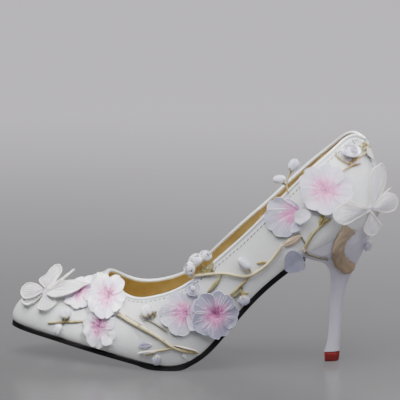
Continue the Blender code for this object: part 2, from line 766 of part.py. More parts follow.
def build_bud(form, row, collection, finish):
    name, x, z, long, wide, thick, turn_deg, rise = row
    middle, normal = touch(form, x, z)
    return add_ball("bud_" + name, middle, normal, (long, wide, thick), turn_deg, rise, collection, finish)


def add_ball(label, middle, normal, sizes, turn_deg, rise, collection, finish):
    """An oval ball that rests on a place of the form."""
    first, second = axes_on(normal, turn_deg)
    long, wide, thick = (size / 2 for size in sizes)
    centre = middle + normal * (GAP + rise + thick)
    bm = bmesh.new()
    bmesh.ops.create_uvsphere(bm, u_segments=BALL_AROUND, v_segments=BALL_ALONG, radius=1.0)
    for vert in bm.verts:
        x, y, z = vert.co
        vert.co = in_metres(centre + first * x * long + second * y * wide + normal * z * thick)
    mesh = bpy.data.meshes.new(label)
    bm.to_mesh(mesh)
    bm.free()
    return add_object(label, mesh, collection, finish)


def build_branch(form, row, collection, finish):
    name, start_radius, end_radius, rise, route = row
    route = np.array(route)
    far = np.concatenate([[0.0], np.cumsum(np.hypot(*np.diff(route, axis=0).T))])
    curve_x, curve_z = smooth_curve(far, route[:, 0]), smooth_curve(far, route[:, 1])
    count = max(BRANCH_LEAST_POINTS, round(far[-1] / BRANCH_STEP) + 1)
    label = "branch_" + name
    cord = bpy.data.curves.new(label, "CURVE")
    cord.dimensions = "3D"
    cord.bevel_depth = MM
    cord.bevel_resolution = 1
    cord.use_fill_caps = True
    spline = cord.splines.new("POLY")
    spline.points.add(count - 1)
    for i, point in enumerate(spline.points):
        share = i / (count - 1)
        radius = start_radius + share * (end_radius - start_radius)
        at = share * far[-1]
        place, normal = touch(form, float(curve_x(at)), float(curve_z(at)))
        point.co = (*in_metres(place + normal * (GAP + rise + radius)), 1.0)
        point.radius = radius
    made = bpy.data.objects.new(label, cord)
    cord.materials.append(finish)
    collection.objects.link(made)
    return made


def build_trunk(form, collection, finish):
    route = np.array(TRUNK)
    far = np.concatenate([[0.0], np.cumsum(np.hypot(*np.diff(route[:, :2], axis=0).T))])
    curves = [smooth_curve(far, route[:, i]) for i in range(len(TRUNK_COLUMNS))]
    stops = [[float(curve(far[-1] * i / TRUNK_ROWS)) for curve in curves] for i in range(TRUNK_ROWS + 1)]
    rows = []
    for i, (x, z, width) in enumerate(stops):
        middle, normal = touch(form, x, z)
        before, after = stops[max(i - 1, 0)], stops[min(i + 1, TRUNK_ROWS)]
        along = touch(form, *after[:2])[0] - touch(form, *before[:2])[0]
        side = along.cross(normal).normalized() * width
        shares = np.linspace(-0.5, 0.5, TRUNK_STRIPS + 1)
        rows.append([drape(form, middle, normal, side * share, TRUNK_CLEAR) for share in shares])
    made = add_object("heel_trunk", grid_mesh("heel_trunk", rows), collection, finish)
    thicken(made, TRUNK_THICK, 1.0)
    return made


def build_wing(body, body_axes, row, collection, finish):
    """A thin cambered plate from beside the body to the tip."""
    butterfly, name, tip, width, lift, face, kind = row
    span = Vector(tip) - body
    along = span.normalized()
    outside = (Vector(face) - along * along.dot(Vector(face))).normalized()
    side = outside.cross(along)
    reach_in = [along.dot(axis) / (size / 2) for axis, size in zip(body_axes, BODY_SIZES)]
    start = 1 / math.sqrt(sum(share * share for share in reach_in)) + WING_ROOT_GAP
    root = body + along * start + outside * lift
    rows = []
    for share, left, right in WING_SHAPES[kind]:
        line = []
        for across in np.linspace(-1, 1, WING_STRIPS + 1):
            wide = across * (left if across > 0 else right) * width / 2
            dome = (1 - across * across) * WING_CAMBER * (left + right) * width / 2
            line.append(root + along * (span.length - start) * share + side * wide + outside * dome)
        rows.append(line)
    label = "butterfly_" + butterfly + "_wing_" + name
    made = add_object(label, grid_mesh(label, rows), collection, finish)
    thicken(made, WING_THICK, 0.0)
    return made


def build_butterfly(form, row, collection, finish):
    name, x, z, turn_deg = row
    place, normal = touch(form, x, z)
    label = "butterfly_" + name + "_body"
    add_ball(label, place, normal, BODY_SIZES, turn_deg, BODY_RISE, collection, finish)
    body = place + normal * (GAP + BODY_RISE + BODY_SIZES[2] / 2)
    body_axes = (*axes_on(normal, turn_deg), normal)
    for wing in WINGS:
        if wing[0] == name:
            build_wing(body, body_axes, wing, collection, finish)


def clear_scene():
    for obj in list(bpy.data.objects):
        bpy.data.objects.remove(obj)


def main():
    clear_scene()
    shoe = bpy.data.collections.new("court_shoe")
    bpy.context.scene.collection.children.link(shoe)
    made = {row[0]: material(*row) for row in FINISHES}
    build_upper(shoe, made["white_leather"])
    build_outsole(shoe, made["black_sole"])
    build_insole(shoe, made["tan_lining"])
    build_heel(shoe, made["white_heel"])
    build_top_lift(shoe, made["red_top_lift"])
    build_binding(shoe, made["white_leather"])
    build_back_strip(shoe, made["white_leather"])
    form = build_form()
    build_trunk(form, shoe, made["trunk_tan"])
    for row in BLOSSOMS:
        build_blossom(form, row, shoe, made["blossom_white"])
    for row in BUDS:
        build_bud(form, row, shoe, made["blossom_white"])
    for row in BRANCHES:
        build_branch(form, row, shoe, made["branch_gold"])
    for row in BUTTERFLIES:
        build_butterfly(form, row, shoe, made["butterfly_gauze"])


if __name__ == "__main__":
    main()
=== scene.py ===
"""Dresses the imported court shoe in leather, lining, sewn blossom, stitched branches and sheer butterflies.

It is a left shoe. The tables are in millimetres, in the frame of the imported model: the toe points along -X,
the outer side of the foot faces -Y, and the floor is at z = 0.
"""

import math

import bpy
import numpy as np
from bpy.props import FloatProperty, FloatVectorProperty, IntProperty, PointerProperty
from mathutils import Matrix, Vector
from mathutils.bvhtree import BVHTree


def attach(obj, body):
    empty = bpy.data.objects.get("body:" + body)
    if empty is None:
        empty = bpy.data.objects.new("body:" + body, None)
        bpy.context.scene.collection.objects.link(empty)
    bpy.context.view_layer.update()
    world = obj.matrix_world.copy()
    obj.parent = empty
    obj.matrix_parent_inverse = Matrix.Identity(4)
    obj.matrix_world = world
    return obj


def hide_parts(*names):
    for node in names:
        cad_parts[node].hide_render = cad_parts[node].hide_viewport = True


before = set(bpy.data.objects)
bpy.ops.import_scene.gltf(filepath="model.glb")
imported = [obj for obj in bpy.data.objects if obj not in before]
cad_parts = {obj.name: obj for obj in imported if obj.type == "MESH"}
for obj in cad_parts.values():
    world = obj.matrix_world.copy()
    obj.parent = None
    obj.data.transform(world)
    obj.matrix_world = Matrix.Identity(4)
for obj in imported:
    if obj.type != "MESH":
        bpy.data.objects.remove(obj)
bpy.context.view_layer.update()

bl_info = {
    "name": "Court Shoe with Sewn Blossom",
    "version": (1, 0, 0),
    "blender": (4, 5, 0),
    "location": "3D View > Sidebar > Shoe",
    "description": "Models the leather, lining, sole, heel and sewn trim of a high heel court shoe",
    "category": "Add Mesh",
}

MM = 0.001
SEED = 7

# Sections of the last: the feather edge's x, its distance to the outer and inner side, and its height.
LAST = (
    (137.0, 0.0, 0.0, 93.5),
    (118.0, 22.0, 21.6, 88.2),
    (98.0, 24.5, 24.0, 79.2),
    (80.0, 23.6, 22.0, 66.6),
    (62.0, 23.2, 20.4, 50.6),
    (45.0, 25.6, 21.8, 31.6),
    (30.0, 31.0, 27.4, 14.4),
    (15.0, 35.6, 34.0, 5.2),
    (0.0, 36.6, 37.8, 3.9),
    (-18.0, 34.2, 38.6, 6.9),
    (-45.0, 25.4, 33.2, 11.4),
    (-75.0, 14.2, 22.4, 16.8),
    (-95.0, 5.8, 13.6, 20.4),
    (-103.5, -4.0, 4.0, 22.0),
)

# Crown of the last: x, y, z.
RIDGE = (
    (-84.0, 4.0, 41.6),
    (-60.0, 3.0, 49.2),
    (-40.0, 2.0, 56.4),
    (-20.0, 1.0, 65.0),
    (0.0, 0.5, 77.0),
    (30.0, 0.0, 106.0),
    (60.0, 0.0, 142.0),
    (100.0, 0.0, 171.0),
)

# Fullness of the section at x: the power of its superellipse, and its side bulge.
FULLNESS = (
    (-103.5, 2.1, 0.9),
    (-45.0, 2.15, 1.8),
    (0.0, 2.25, 2.4),
    (50.0, 2.3, 1.2),
    (105.0, 2.4, 3.2),
    (137.0, 2.3, 3.4),
)
BULGE_AT = 0.25

# Topline in side view: x, and its height on the outer and on the inner side.
TOPLINE = (
    (-40.0, 56.4, 56.4),
    (-30.0, 50.0, 47.8),
    (-18.0, 45.6, 43.8),
    (-4.0, 47.2, 45.2),
    (16.0, 55.0, 54.4),
    (32.0, 67.4, 70.0),
    (50.0, 83.2, 88.0),
    (70.0, 103.6, 106.0),
    (90.0, 124.8, 125.2),
    (111.0, 143.8, 143.4),
    (122.0, 150.8, 150.4),
    (130.0, 147.2, 147.2),
)

# The outsole: its margin outside the feather edge, thickness, drop under the upper, corner, stations, and
# the turn left free between its end and the heel. Then the points of a plate's section.
OUTSOLE_MARGIN = 0.5
OUTSOLE_THICK = 3.4
OUTSOLE_DROP = 0.05
OUTSOLE_CORNER = 0.7
OUTSOLE_STATIONS = 130
SOLE_END_GAP = 0.004
SOLE_CORNER_POINTS = 5
SOLE_MIDDLE_POINTS = 15
# The tread under the ball comes down by its level, less so up to the height of its ease, and rolls off.
TREAD_LEVEL = 1.1
TREAD_EASE = 3.0
TREAD_ROLL = 2.4
# How high wear reaches on the sole and on the top lift.
SOLE_WEAR = 2.5
LIFT_WEAR = 1.6
# The insole: its margin, its height over the feather edge, thickness, corner, stations, and turn at its ends.
INSOLE_MARGIN = -2.1
INSOLE_TOP = 2.6
INSOLE_THICK = 2.4
INSOLE_CORNER = 0.6
INSOLE_STATIONS = 120
INSOLE_END = 0.05
# The insole's seam: its distance to the edge, and the stations that it runs along.
INSOLE_SEAM = 3.0
INSOLE_SEWN = slice(4, -10)
# Where the sole ends at the front of the heel.
BREAST_X = 91.0

# Stations round half the upper: heel seat, open side, closed vamp. Then the rows up its wall.
SEAT_STATIONS = 26
SIDE_STATIONS = 84
VAMP_STATIONS = 56
WALL_ROWS = 52
# The form that trim is laid on: its stations and rows, its heel's rows, and how far it hangs under the sole.
FORM_STATIONS = 360
FORM_ROWS = 60
FORM_HEEL_ROWS = 40
FORM_SKIRT = 30.0
# The heel: stations round it and across its front, rows at its seat and below, its drop under the sole.
HEEL_STATIONS = 28
BREAST_STATIONS = 12
HEEL_SEAT_ROWS = 8
HEEL_ROWS = 64
SEAT_DROP = 0.1

# Steps on the last for its directions, in radians, and halvings of the search for the opening.
TURN_STEP = 0.002
LIFT_STEP = 0.01
HALVINGS = 44
# How far round a spot on the form normals are taken, and how far off the rays start that look for it.
TOUCH_SPREAD = 1.5
DRAPE_SPREAD = 1.2
DRAPE_REACH = 25.0
FAR_OUTSIDE = -200.0

# Soft flex creases of the upper in side view: the side of the foot, two ends, depth and half width.
CREASES = (
    (-1, (-2.0, 41.0), (6.0, 16.0), 0.28, 2.6),
    (-1, (7.0, 46.0), (16.0, 24.0), 0.22, 2.4),
    (-1, (-12.0, 40.0), (-7.0, 20.0), 0.2, 2.8),
    (-1, (98.0, 132.0), (116.0, 112.0), 0.3, 4.5),
    (-1, (60.0, 88.0), (72.0, 74.0), 0.25, 4.0),
    (1, (-6.0, 39.0), (4.0, 15.0), 0.28, 2.6),
    (1, (5.0, 45.0), (14.0, 20.0), 0.24, 2.4),
    (1, (-18.0, 40.0), (-10.0, 18.0), 0.2, 2.8),
    (1, (96.0, 130.0), (112.0, 110.0), 0.3, 4.5),
)

# How soon the creases fade towards the crown, in cosine of the lift, and towards the sole, in share.
CREASE_FADE_HIGH = 0.3
CREASE_FADE_LOW = 0.08

# Heel in side view, a row for each section downwards: front x and z, back x and z, half width.
HEEL = (
    (96.5, 71.6, 135.4, 87.0, 21.0),
    (102.5, 69.4, 132.0, 79.5, 16.0),
    (106.4, 65.6, 128.2, 71.0, 11.6),
    (108.3, 60.0, 124.4, 63.0, 8.8),
    (108.7, 53.0, 120.6, 54.6, 6.9),
    (108.5, 45.0, 118.0, 45.6, 5.7),
    (108.3, 33.0, 116.5, 33.2, 5.0),
    (107.8, 21.0, 116.0, 21.0, 4.7),
    (106.7, 12.0, 115.6, 12.0, 4.8),
    (105.3, 6.9, 115.4, 6.9, 5.1),
)
# Top lift: height, and how far its side is set in there.
LIFT_PROFILE = (
    (6.85, 0.9),
    (6.35, 0.9),
    (6.1, 0.25),
    (5.8, 0.0),
    (3.4, 0.22),
    (0.9, 0.45),
    (0.35, 0.6),
    (0.0, 1.0),
)

# The strip over the back seam: its half width in turn, low and high, its ends in lift, its cells, its
# height off the upper at its edges and more at its middle, its thickness and its bevel.
STRIP_LOW_TURN = 0.13
STRIP_HIGH_TURN = 0.28
STRIP_END = 0.035
STRIP_COLUMNS = 20
STRIP_ROWS = 60
STRIP_CLEAR = 0.12
STRIP_DOME = 0.3
STRIP_THICK = 0.55
STRIP_BEVEL = 0.18
# The strip's two seams: how far to the side, both ends along it, stations, and height off the upper.
STRIP_SEAM_SIDE = 0.84
STRIP_SEAM_ENDS = (0.03, 0.96)
STRIP_SEAM_STATIONS = 50
STRIP_SEAM_CLEAR = 0.78

# The rolled edge: its sides, how far past the opening its middle lies, half its height, and its roundness.
PIPING_SIDES = 18
PIPING_RISE = 0.35
PIPING_HALF = 1.1
PIPING_POWER = 0.8

# How high dust reaches above the sole, a seam's gap off its ground, and the reach of its direction.
DUST_REACH = 3.0
SEAM_GAP = 0.02
SEAM_REACH = 0.4
# The topline's seam comes nearer to the edge towards the toe: x, and share of the inset there.
SEAM_INSET_X = (0.0, 50.0)
SEAM_INSET_SHARE = (0.6, 1.0)
# A stitch's height and bevel as shares of its width.
STITCH_HEIGHT = 0.9
STITCH_BEVEL = 0.34
# How near points are merged: in a wall, at a closed seam, and in threads. Then the angle of smooth shading.
WELD_REACH = 0.02
CLOSE_REACH = 0.01
THREAD_REACH = 0.001
SMOOTH_DEG = 50

# Blossoms: name, x and z in side view, radius, turn, stand, cup, how far the core is off the middle, how
# much painted shade the cloth gets where it lies in shadow, and how pink each petal is.
BLOSSOMS = (
    ("toe", -55.0, 46.0, 13.0, 20.0, 0.3, 0.6, (0.1, 0.2), 0.05, (0.5, 0.4, 0.8, 1.0, 0.9)),
    ("throat", -35.0, 44.2, 14.5, 14.0, 2.2, 1.2, (0.4, 1.4), 0.0, (0.9, 0.8, 0.8, 0.8, 0.9)),
    ("vamp", -40.0, 26.0, 13.0, 0.0, 0.4, 0.8, (0.1, 0.4), 0.0, (0.8, 0.9, 1.0, 1.0, 0.6)),
    ("waist", 14.0, 38.3, 14.4, 10.0, 0.3, 0.6, (2.8, 1.0), 0.45, (0.3, 1.0, 1.0, 1.0, 0.2)),
    ("arch", 35.0, 37.0, 16.0, 30.0, 2.2, 1.2, (0.0, 0.0), 0.85, (1.0, 0.6, 1.0, 0.9, 0.7)),
    ("quarter", 78.6, 100.0, 13.5, 15.0, 0.4, 0.8, (8.7, 4.6), 0.65, (0.2, 0.4, 1.0, 1.0, 0.2)),
    ("counter", 104.5, 118.4, 16.5, 36.0, 2.0, 1.2, (0.4, -0.5), 0.4, (0.75, 0.95, 0.95, 0.7, 1.0)),
)
PETALS = 5
PETAL_COLUMNS = 14
PETAL_ROWS = 12
# Petals that stand up off the shoe: blossom, number of the petal, rise of its tip.
RAISED_PETALS = (("throat", 1, 6.0),)
# Petals cut longer or shorter than the rest: blossom, number of the petal, share of the usual length.
CUT_PETALS = (("throat", 0, 1.1), ("throat", 4, 0.94))
# Stitches on the petals: thread, share of the full number, both ends along, reach across, radius.
PETAL_STROKES = (
    ("pink", 1.0, 0.1, 0.56, 0.72, 0.21),
    ("white", 0.7, 0.4, 0.9, 0.9, 0.18),
)
STROKE_LIFT = 0.08

# Buds: name, x, z, long, wide, thick, turn, rise, the way it grows in side view, and its kind.
BUDS = (
    ("toe_upper", -63.4, 31.4, 9.0, 6.8, 4.0, 0.0, 0.0, 95.0, "closed"),
    ("toe_lower", -68.6, 21.6, 7.6, 5.6, 3.4, 46.0, 0.0, 235.0, "plain"),
    ("vamp", -8.0, 38.8, 9.0, 7.6, 4.0, 20.0, 0.0, 115.0, "closed"),
    ("tread", -1.8, 8.4, 8.0, 5.4, 3.4, 50.0, 0.1, 250.0, "sheer"),
    ("topline_1", 22.6, 70.5, 8.0, 8.0, 5.0, 0.0, 0.4, 120.0, "open"),
    ("topline_2", 28.7, 73.3, 6.4, 6.4, 4.6, 0.0, 0.4, 60.0, "open"),
    ("topline_3", 18.6, 65.0, 7.0, 7.0, 4.6, 0.0, 0.4, 200.0, "open"),
    ("waist", 20.7, 53.2, 7.5, 7.5, 3.0, 0.0, 1.5, 90.0, "sheer_open"),
    ("arch", 52.9, 45.6, 8.0, 7.0, 3.0, 30.0, 0.3, 290.0, "sheer"),
    ("quarter", 53.2, 69.5, 10.0, 5.6, 4.0, 135.0, 0.2, 135.0, "plain"),
    ("rose", 119.3, 141.6, 11.0, 10.4, 5.0, 0.0, 0.3, 100.0, "rose"),
    ("heel_back", 131.0, 79.5, 7.6, 7.4, 4.0, 0.0, 0.2, 270.0, "plain"),
    ("breast_petal", 85.0, 72.4, 16.0, 11.0, 2.5, 68.0, 1.0, 100.0, "petal"),
    ("counter_petal", 91.0, 101.3, 10.0, 8.0, 1.6, 30.0, 2.3, 20.0, "pale_petal"),
    ("spray_low", 76.0, 123.2, 8.6, 5.6, 4.0, 0.0, 0.4, 180.0, "plain"),
    ("spray_high", 84.8, 132.4, 8.6, 7.0, 3.4, 50.0, 0.4, 50.0, "sheer"),
)
# Rings of petals of each kind of opened bud: their number, half angle, both ends along the bud, scale, flare.
ROSETTES = {
    "open": (
        (3, 1.25, 0.04, 0.68, 1.28, 0.0),
        (2, 1.4, 0.05, 0.78, 1.06, 0.0),
        (1, math.pi, 0.05, 1.0, 0.8, 0.0),
    ),
    "sheer_open": (
        (5, 0.75, 0.3, 0.54, 1.2, 0.05),
        (4, 0.9, 0.3, 0.62, 0.85, 0.0),
        (1, math.pi, 0.3, 1.0, 0.5, 0.0),
    ),
    "rose": (
        (5, 0.85, 0.1, 0.62, 1.12, 0.12),
        (4, 0.95, 0.12, 0.74, 0.84, 0.06),
        (3, 1.2, 0.15, 0.86, 0.56, 0.0),
        (1, math.pi, 0.05, 1.0, 0.34, 0.0),
    ),
}
# How far each kind of opened bud leans the way it grows, in degrees.
BUD_LEAN = {"open": 35.0, "rose": 35.0, "sheer_open": 0.0}
# How much painted shade the cloth of each kind of bud gets, and what each ring inwards adds to it, as painted
# shade deeper in the bud.
BUD_PAINTED_SHADE = {"petal": 0.7, "pale_petal": 0.4, "closed": 0.15, "plain": 0.0, "open": 0.0, "rose": 0.0}
RING_PAINTED_SHADE = 0.1
# How far a loose petal bridges the hollows under it, from 0 to 1, and its scale.
PETAL_LEVEL = 0.7
LOOSE_PETAL = 1.1
# How far each ring of a rosette stands out from the one round it, and how thick the sewn cloths are.
RING_STEP = 0.08
SHELL_CLOTH = 0.26
LOOSE_CLOTH = 0.3
LEAF_CLOTH = 0.35

# The route of the branch under the topline in side view: x, z.
TOPLINE_ROUTE = (
    (17.4, 60.4),
    (24.0, 61.4),
    (30.8, 62.2),
    (40.4, 62.6),
    (56.7, 61.5),
    (63.5, 65.3),
    (68.3, 69.3),
    (78.0, 82.5),
)
# Branches: name, the cord's radius at both ends, its rise, and its route in side view.
BRANCHES = (
    ("toe", 0.7, 0.8, 0.0, ((-77.0, 24.6), (-66.0, 26.4), (-55.0, 27.8))),
    ("vamp", 1.4, 0.9, 0.0, ((-28.0, 35.8), (-12.4, 28.7), (0.7, 21.9), (8.0, 17.0), (24.3, 12.1))),
    ("vamp_fork", 0.8, 0.7, 0.0, ((5.0, 15.2), (-2.8, 13.8), (-13.6, 11.8))),
    ("vamp_twig", 0.5, 0.6, 0.0, ((-11.2, 34.6), (-3.0, 31.2), (5.0, 26.6))),
    ("topline", 1.0, 1.0, 0.6, TOPLINE_ROUTE),
    ("topline_fork", 0.7, 0.6, 0.0, ((37.2, 59.6), (35.7, 55.9), (29.5, 50.5))),
    ("arch_fork", 0.8, 0.6, 0.3, ((54.6, 58.4), (48.0, 52.3), (43.1, 48.3))),
    ("quarter_leaf", 1.2, 0.6, 0.0, ((80.6, 83.8), (84.4, 85.8), (88.3, 87.9))),
    ("counter", 0.9, 0.8, 0.0, ((91.6, 79.4), (93.5, 83.5), (100.0, 93.4), (108.5, 100.2))),
    ("seat", 0.7, 0.6, 0.5, ((93.4, 76.8), (100.0, 74.2), (107.0, 71.8))),
    ("collar_front", 0.8, 0.7, 0.0, ((111.0, 139.5), (112.8, 138.0), (117.4, 134.6))),
    ("collar_low", 0.8, 0.7, 0.3, ((114.8, 129.4), (120.0, 132.2), (126.7, 133.6))),
    ("collar_middle", 0.7, 0.7, 1.1, ((121.4, 135.4), (124.4, 136.8), (130.0, 140.6))),
    ("collar_high", 0.6, 0.6, 1.1, ((126.2, 143.8), (128.0, 143.0), (130.6, 144.2))),
    ("spray", 0.6, 0.6, 0.7, ((81.6, 114.6), (80.4, 119.8), (81.4, 124.6), (83.0, 128.4))),
)

# The thread of each branch that is not of gold thread.
BRANCH_TONES = {
    "vamp": "cream",
    "vamp_fork": "cream",
    "vamp_twig": "olive",
    "topline": "cream",
    "quarter_leaf": "brown",
    "counter": "green",
    "seat": "olive",
}
# A cord's height against its width, its rounded ends in radii, its steps, and its gap off the leather.
CORD_FLAT = 0.78
CORD_END = 1.6
CORD_STEP = 0.4
CORD_GAP = 0.05
RIDGES_PER_MM = 1.6

# Short twigs that join the branches: radius at both ends, rise, thread, route in side view.
TWIGS = (
    (0.75, 0.5, 0.0, "gold", ((-55.6, 27.7), (-53.0, 28.2), (-50.4, 28.6))),
    (0.8, 0.8, 0.0, "cream", ((8.2, 16.9), (6.6, 15.9), (4.6, 15.1))),
    (0.7, 0.8, 0.3, "gold", ((57.0, 61.6), (56.0, 60.0), (54.4, 58.2))),
    (0.7, 0.7, 0.2, "green", ((39.2, 62.0), (38.4, 60.8), (37.0, 59.4))),
    (0.5, 0.55, 0.0, "olive", ((88.5, 90.2), (90.6, 86.8), (92.8, 83.4))),
    (0.45, 0.5, 0.0, "gold", ((96.3, 91.0), (94.6, 86.6), (93.2, 83.4))),
    (0.8, 0.6, 0.3, "olive", ((91.0, 79.6), (92.2, 78.2), (93.8, 76.8))),
    (0.5, 0.7, 0.0, "gold", ((61.2, 69.8), (64.6, 70.6), (68.3, 69.5))),
    (0.7, 0.6, 0.2, "gold", ((117.0, 134.8), (118.6, 134.2), (121.6, 135.5))),
    (0.6, 0.7, 0.3, "gold", ((111.1, 142.0), (111.0, 140.6), (111.4, 139.2))),
    (0.6, 0.5, 0.6, "gold", ((124.4, 145.0), (125.4, 144.2), (126.6, 143.6))),
    (0.6, 0.5, 0.0, "olive", ((-65.6, 26.0), (-66.4, 24.4), (-67.2, 23.0))),
    (0.45, 0.4, 0.8, "olive", ((-23.0, 35.2), (-17.0, 32.4), (-11.0, 29.9))),
    (0.45, 0.4, 0.5, "olive", ((-19.6, 31.0), (-10.0, 26.9), (-2.0, 22.5))),
    (0.45, 0.4, 0.5, "brown", ((-5.0, 24.4), (0.6, 21.2), (6.0, 17.3))),
    # The back seam's line is sewn in the dark seam thread, painted dark as its stitches are.
    (0.28, 0.28, 0.0, "seam", ((120.6, 149.2), (122.0, 147.2), (123.6, 145.0))),
    (0.5, 0.3, 0.4, "brown", ((118.6, 92.2), (121.6, 92.6), (124.4, 91.4))),
)

# Tufts of short threads: x, z, radius, number of threads, rise, thread.
TUFTS = (
    (128.8, 143.6, 3.8, 50, 1.4, "gold"),
    (127.6, 143.0, 2.6, 24, 1.4, "cream"),
    (120.4, 134.4, 2.8, 30, 0.8, "gold"),
    (122.6, 136.6, 2.4, 18, 0.8, "cream"),
    (28.0, 65.0, 4.2, 40, 0.8, "green"),
    (33.0, 64.0, 2.6, 20, 0.8, "olive"),
    (-5.6, 37.0, 3.4, 30, 1.0, "olive"),
    (-10.2, 34.6, 2.4, 18, 0.6, "white"),
    (-13.0, 29.8, 1.4, 10, 1.2, "brown"),
    (2.4, 21.2, 1.4, 10, 1.2, "brown"),
    (8.2, 17.0, 1.5, 12, 0.8, "gold"),
    (91.6, 80.0, 1.8, 18, 0.9, "brown"),
    (53.6, 49.6, 2.2, 16, 1.0, "gold"),
    (103.4, 98.6, 2.6, 22, 0.8, "green"),
    (-64.0, 27.4, 2.2, 16, 0.8, "green"),
)

# Small stitched leaves and sepals on the leather: x, z, the way they point, length, width, rise, tone.
LEAVES = (
    (8.6, 17.2, -17.0, 16.6, 3.2, 0.9, "gold"),
    (9.0, 18.2, -15.0, 15.6, 1.4, 1.4, "edge"),
    (-2.2, 13.6, 187.0, 12.0, 2.2, 0.9, "edge"),
    (-1.6, 12.8, 192.0, 9.0, 1.6, 1.0, "olive"),
    (-9.0, 33.6, 150.0, 5.0, 2.4, 0.7, "green"),
    (-5.0, 34.4, 60.0, 5.6, 2.6, 0.7, "olive"),
    (-5.2, 17.8, 188.0, 8.4, 6.0, 0.3, "mauve"),
    (14.6, 12.2, -58.0, 3.6, 2.6, 0.4, "edge"),
    (30.6, 62.6, 130.0, 7.0, 3.0, 1.2, "green"),
    (31.2, 62.8, 75.0, 7.6, 3.0, 1.2, "green"),
    (30.0, 62.2, 160.0, 6.4, 2.6, 1.2, "green"),
    (38.0, 59.6, 228.0, 12.0, 3.2, 0.9, "green"),
    (36.0, 56.2, 222.0, 9.0, 2.6, 1.1, "olive"),
    (52.4, 54.0, 222.0, 10.6, 5.0, 0.7, "olive"),
    (50.4, 53.0, 300.0, 5.6, 2.2, 0.8, "green"),
    (56.4, 50.6, 200.0, 5.6, 2.0, 0.9, "gold"),
    (58.0, 63.2, 120.0, 5.0, 1.8, 1.6, "gold"),
    (61.4, 69.6, 10.0, 8.0, 2.2, 0.6, "gold"),
    (78.6, 81.6, 32.0, 13.6, 5.0, 0.9, "brown"),
    (101.0, 95.6, 70.0, 8.4, 3.0, 0.8, "green"),
    (104.0, 97.6, 100.0, 7.0, 2.6, 0.8, "green"),
    (80.6, 119.6, 150.0, 5.0, 1.8, 1.0, "green"),
    (81.8, 125.4, 70.0, 4.6, 1.6, 1.0, "gold"),
    (121.6, 135.8, 60.0, 4.4, 1.4, 1.5, "gold"),
    (128.6, 142.4, 35.0, 4.6, 1.4, 1.9, "gold"),
    (128.4, 142.0, 80.0, 4.2, 1.4, 1.9, "gold"),
    (129.0, 143.2, -50.0, 8.4, 5.0, 2.4, "edge"),
    (-66.0, 27.6, 60.0, 3.8, 1.6, 0.8, "green"),
)

# The trunk that wraps the top of the heel: x, z, width.
TRUNK = (
    (120.9, 93.2, 10.6),
    (115.6, 86.6, 7.8),
    (113.2, 78.6, 7.2),
    (114.0, 72.0, 8.4),
    (117.8, 66.0, 9.0),
    (122.2, 63.4, 7.6),
)
TRUNK_COLUMNS = 12
TRUNK_ROWS = 48
TRUNK_RISE = 0.5
TRUNK_DOME = 1.0
TRUNK_CLOTH = 0.6
TRUNK_STRANDS = 48
STRAND_RADIUS = 0.3
TRUNK_THREADS = ("trunk", "olive", "brown", "gold")

# Butterflies: name, x, z and turn of the body, the flat size of the wings' cloth, radius of the edge thread.
BUTTERFLIES = (
    ("toe", -79.0, 42.0, 40.0, (0.050, 0.034), 0.6),
    ("heel", 133.0, 105.0, 120.0, (0.046, 0.044), 0.4),
)
# A butterfly's body: length, width and height, its gap off the shoe, and the steps along it.
BODY_SIZES = (7.0, 2.4, 2.4)
BODY_RISE = 0.4
BODY_STEPS = 40
# Feelers: butterfly, three places on the way, radius at both ends. Then the points of each.
FEELERS = (
    ("toe", ((-78.0, -7.4, 45.6), (-70.0, -6.8, 51.4), (-60.0, -5.4, 59.3)), 1.4, 0.6),
    ("toe", ((-78.4, -8.0, 45.0), (-71.0, -9.2, 48.2), (-66.0, -9.6, 51.4)), 0.7, 0.35),
    ("heel", ((133.0, -18.4, 105.2), (125.0, -26.6, 109.6), (117.0, -30.0, 113.8)), 0.6, 0.4),
    ("heel", ((133.0, -18.6, 104.6), (125.0, -27.2, 108.2), (116.6, -31.0, 111.8)), 0.5, 0.35),
    ("heel", ((133.0, -18.0, 104.4), (137.0, -18.0, 99.4), (141.6, -16.8, 93.2)), 0.55, 0.35),
    ("heel", ((134.0, -17.0, 106.0), (140.0, -16.2, 113.0), (146.4, -14.4, 118.4)), 0.4, 0.3),
)
FEELER_POINTS = 16

# Wings: butterfly, name, tip, width, lift, the way they face, the kind of outline, and scallops on the edge.
WINGS = (
    ("toe", "upper", (-71.7, 5.9, 58.8), 12.0, 1.2, (-0.25, -0.75, 0.6), "fore", 3),
    ("toe", "front", (-96.2, 0.2, 41.4), 11.0, 2.2, (-0.25, -0.75, 0.6), "oval", 4),
    ("toe", "side", (-95.7, -4.6, 36.0), 8.0, 0.3, (-0.25, -0.75, 0.6), "oval", 2),
    ("toe", "low", (-77.1, -13.2, 32.8), 13.0, 0.7, (-0.25, -0.75, 0.6), "fan", 4),
    ("toe", "long", (-47.8, -12.4, 50.8), 11.5, 1.8, (-0.2, -0.62, 0.76), "blade", 3),
    ("heel", "upper", (139.5, -15.0, 134.0), 11.0, 1.0, (0.35, -0.93, 0.1), "oval", 2),
    ("heel", "back", (150.5, -13.0, 111.0), 12.0, 1.2, (0.35, -0.93, 0.1), "oval", 3),
    ("heel", "low", (134.0, -17.0, 87.5), 10.0, 0.6, (0.35, -0.93, 0.1), "fan", 3),
    ("heel", "long", (109.0, -36.0, 103.0), 13.0, 0.8, (0.1, -0.98, 0.15), "fan", 5),
)
WING_COLUMNS = 18
WING_ROWS = 22
WING_CAMBER = 0.08
WING_FRAYS = 34
# Veins of a wing: their points, their radius as a share of the edge thread's, how far to the side each
# leans, and the share along at which it ends.
VEIN_POINTS = 14
VEIN_SHARE = 0.42
WING_VEINS = ((-0.62, 0.86), (-0.24, 0.94), (0.2, 0.9), (0.6, 0.8))
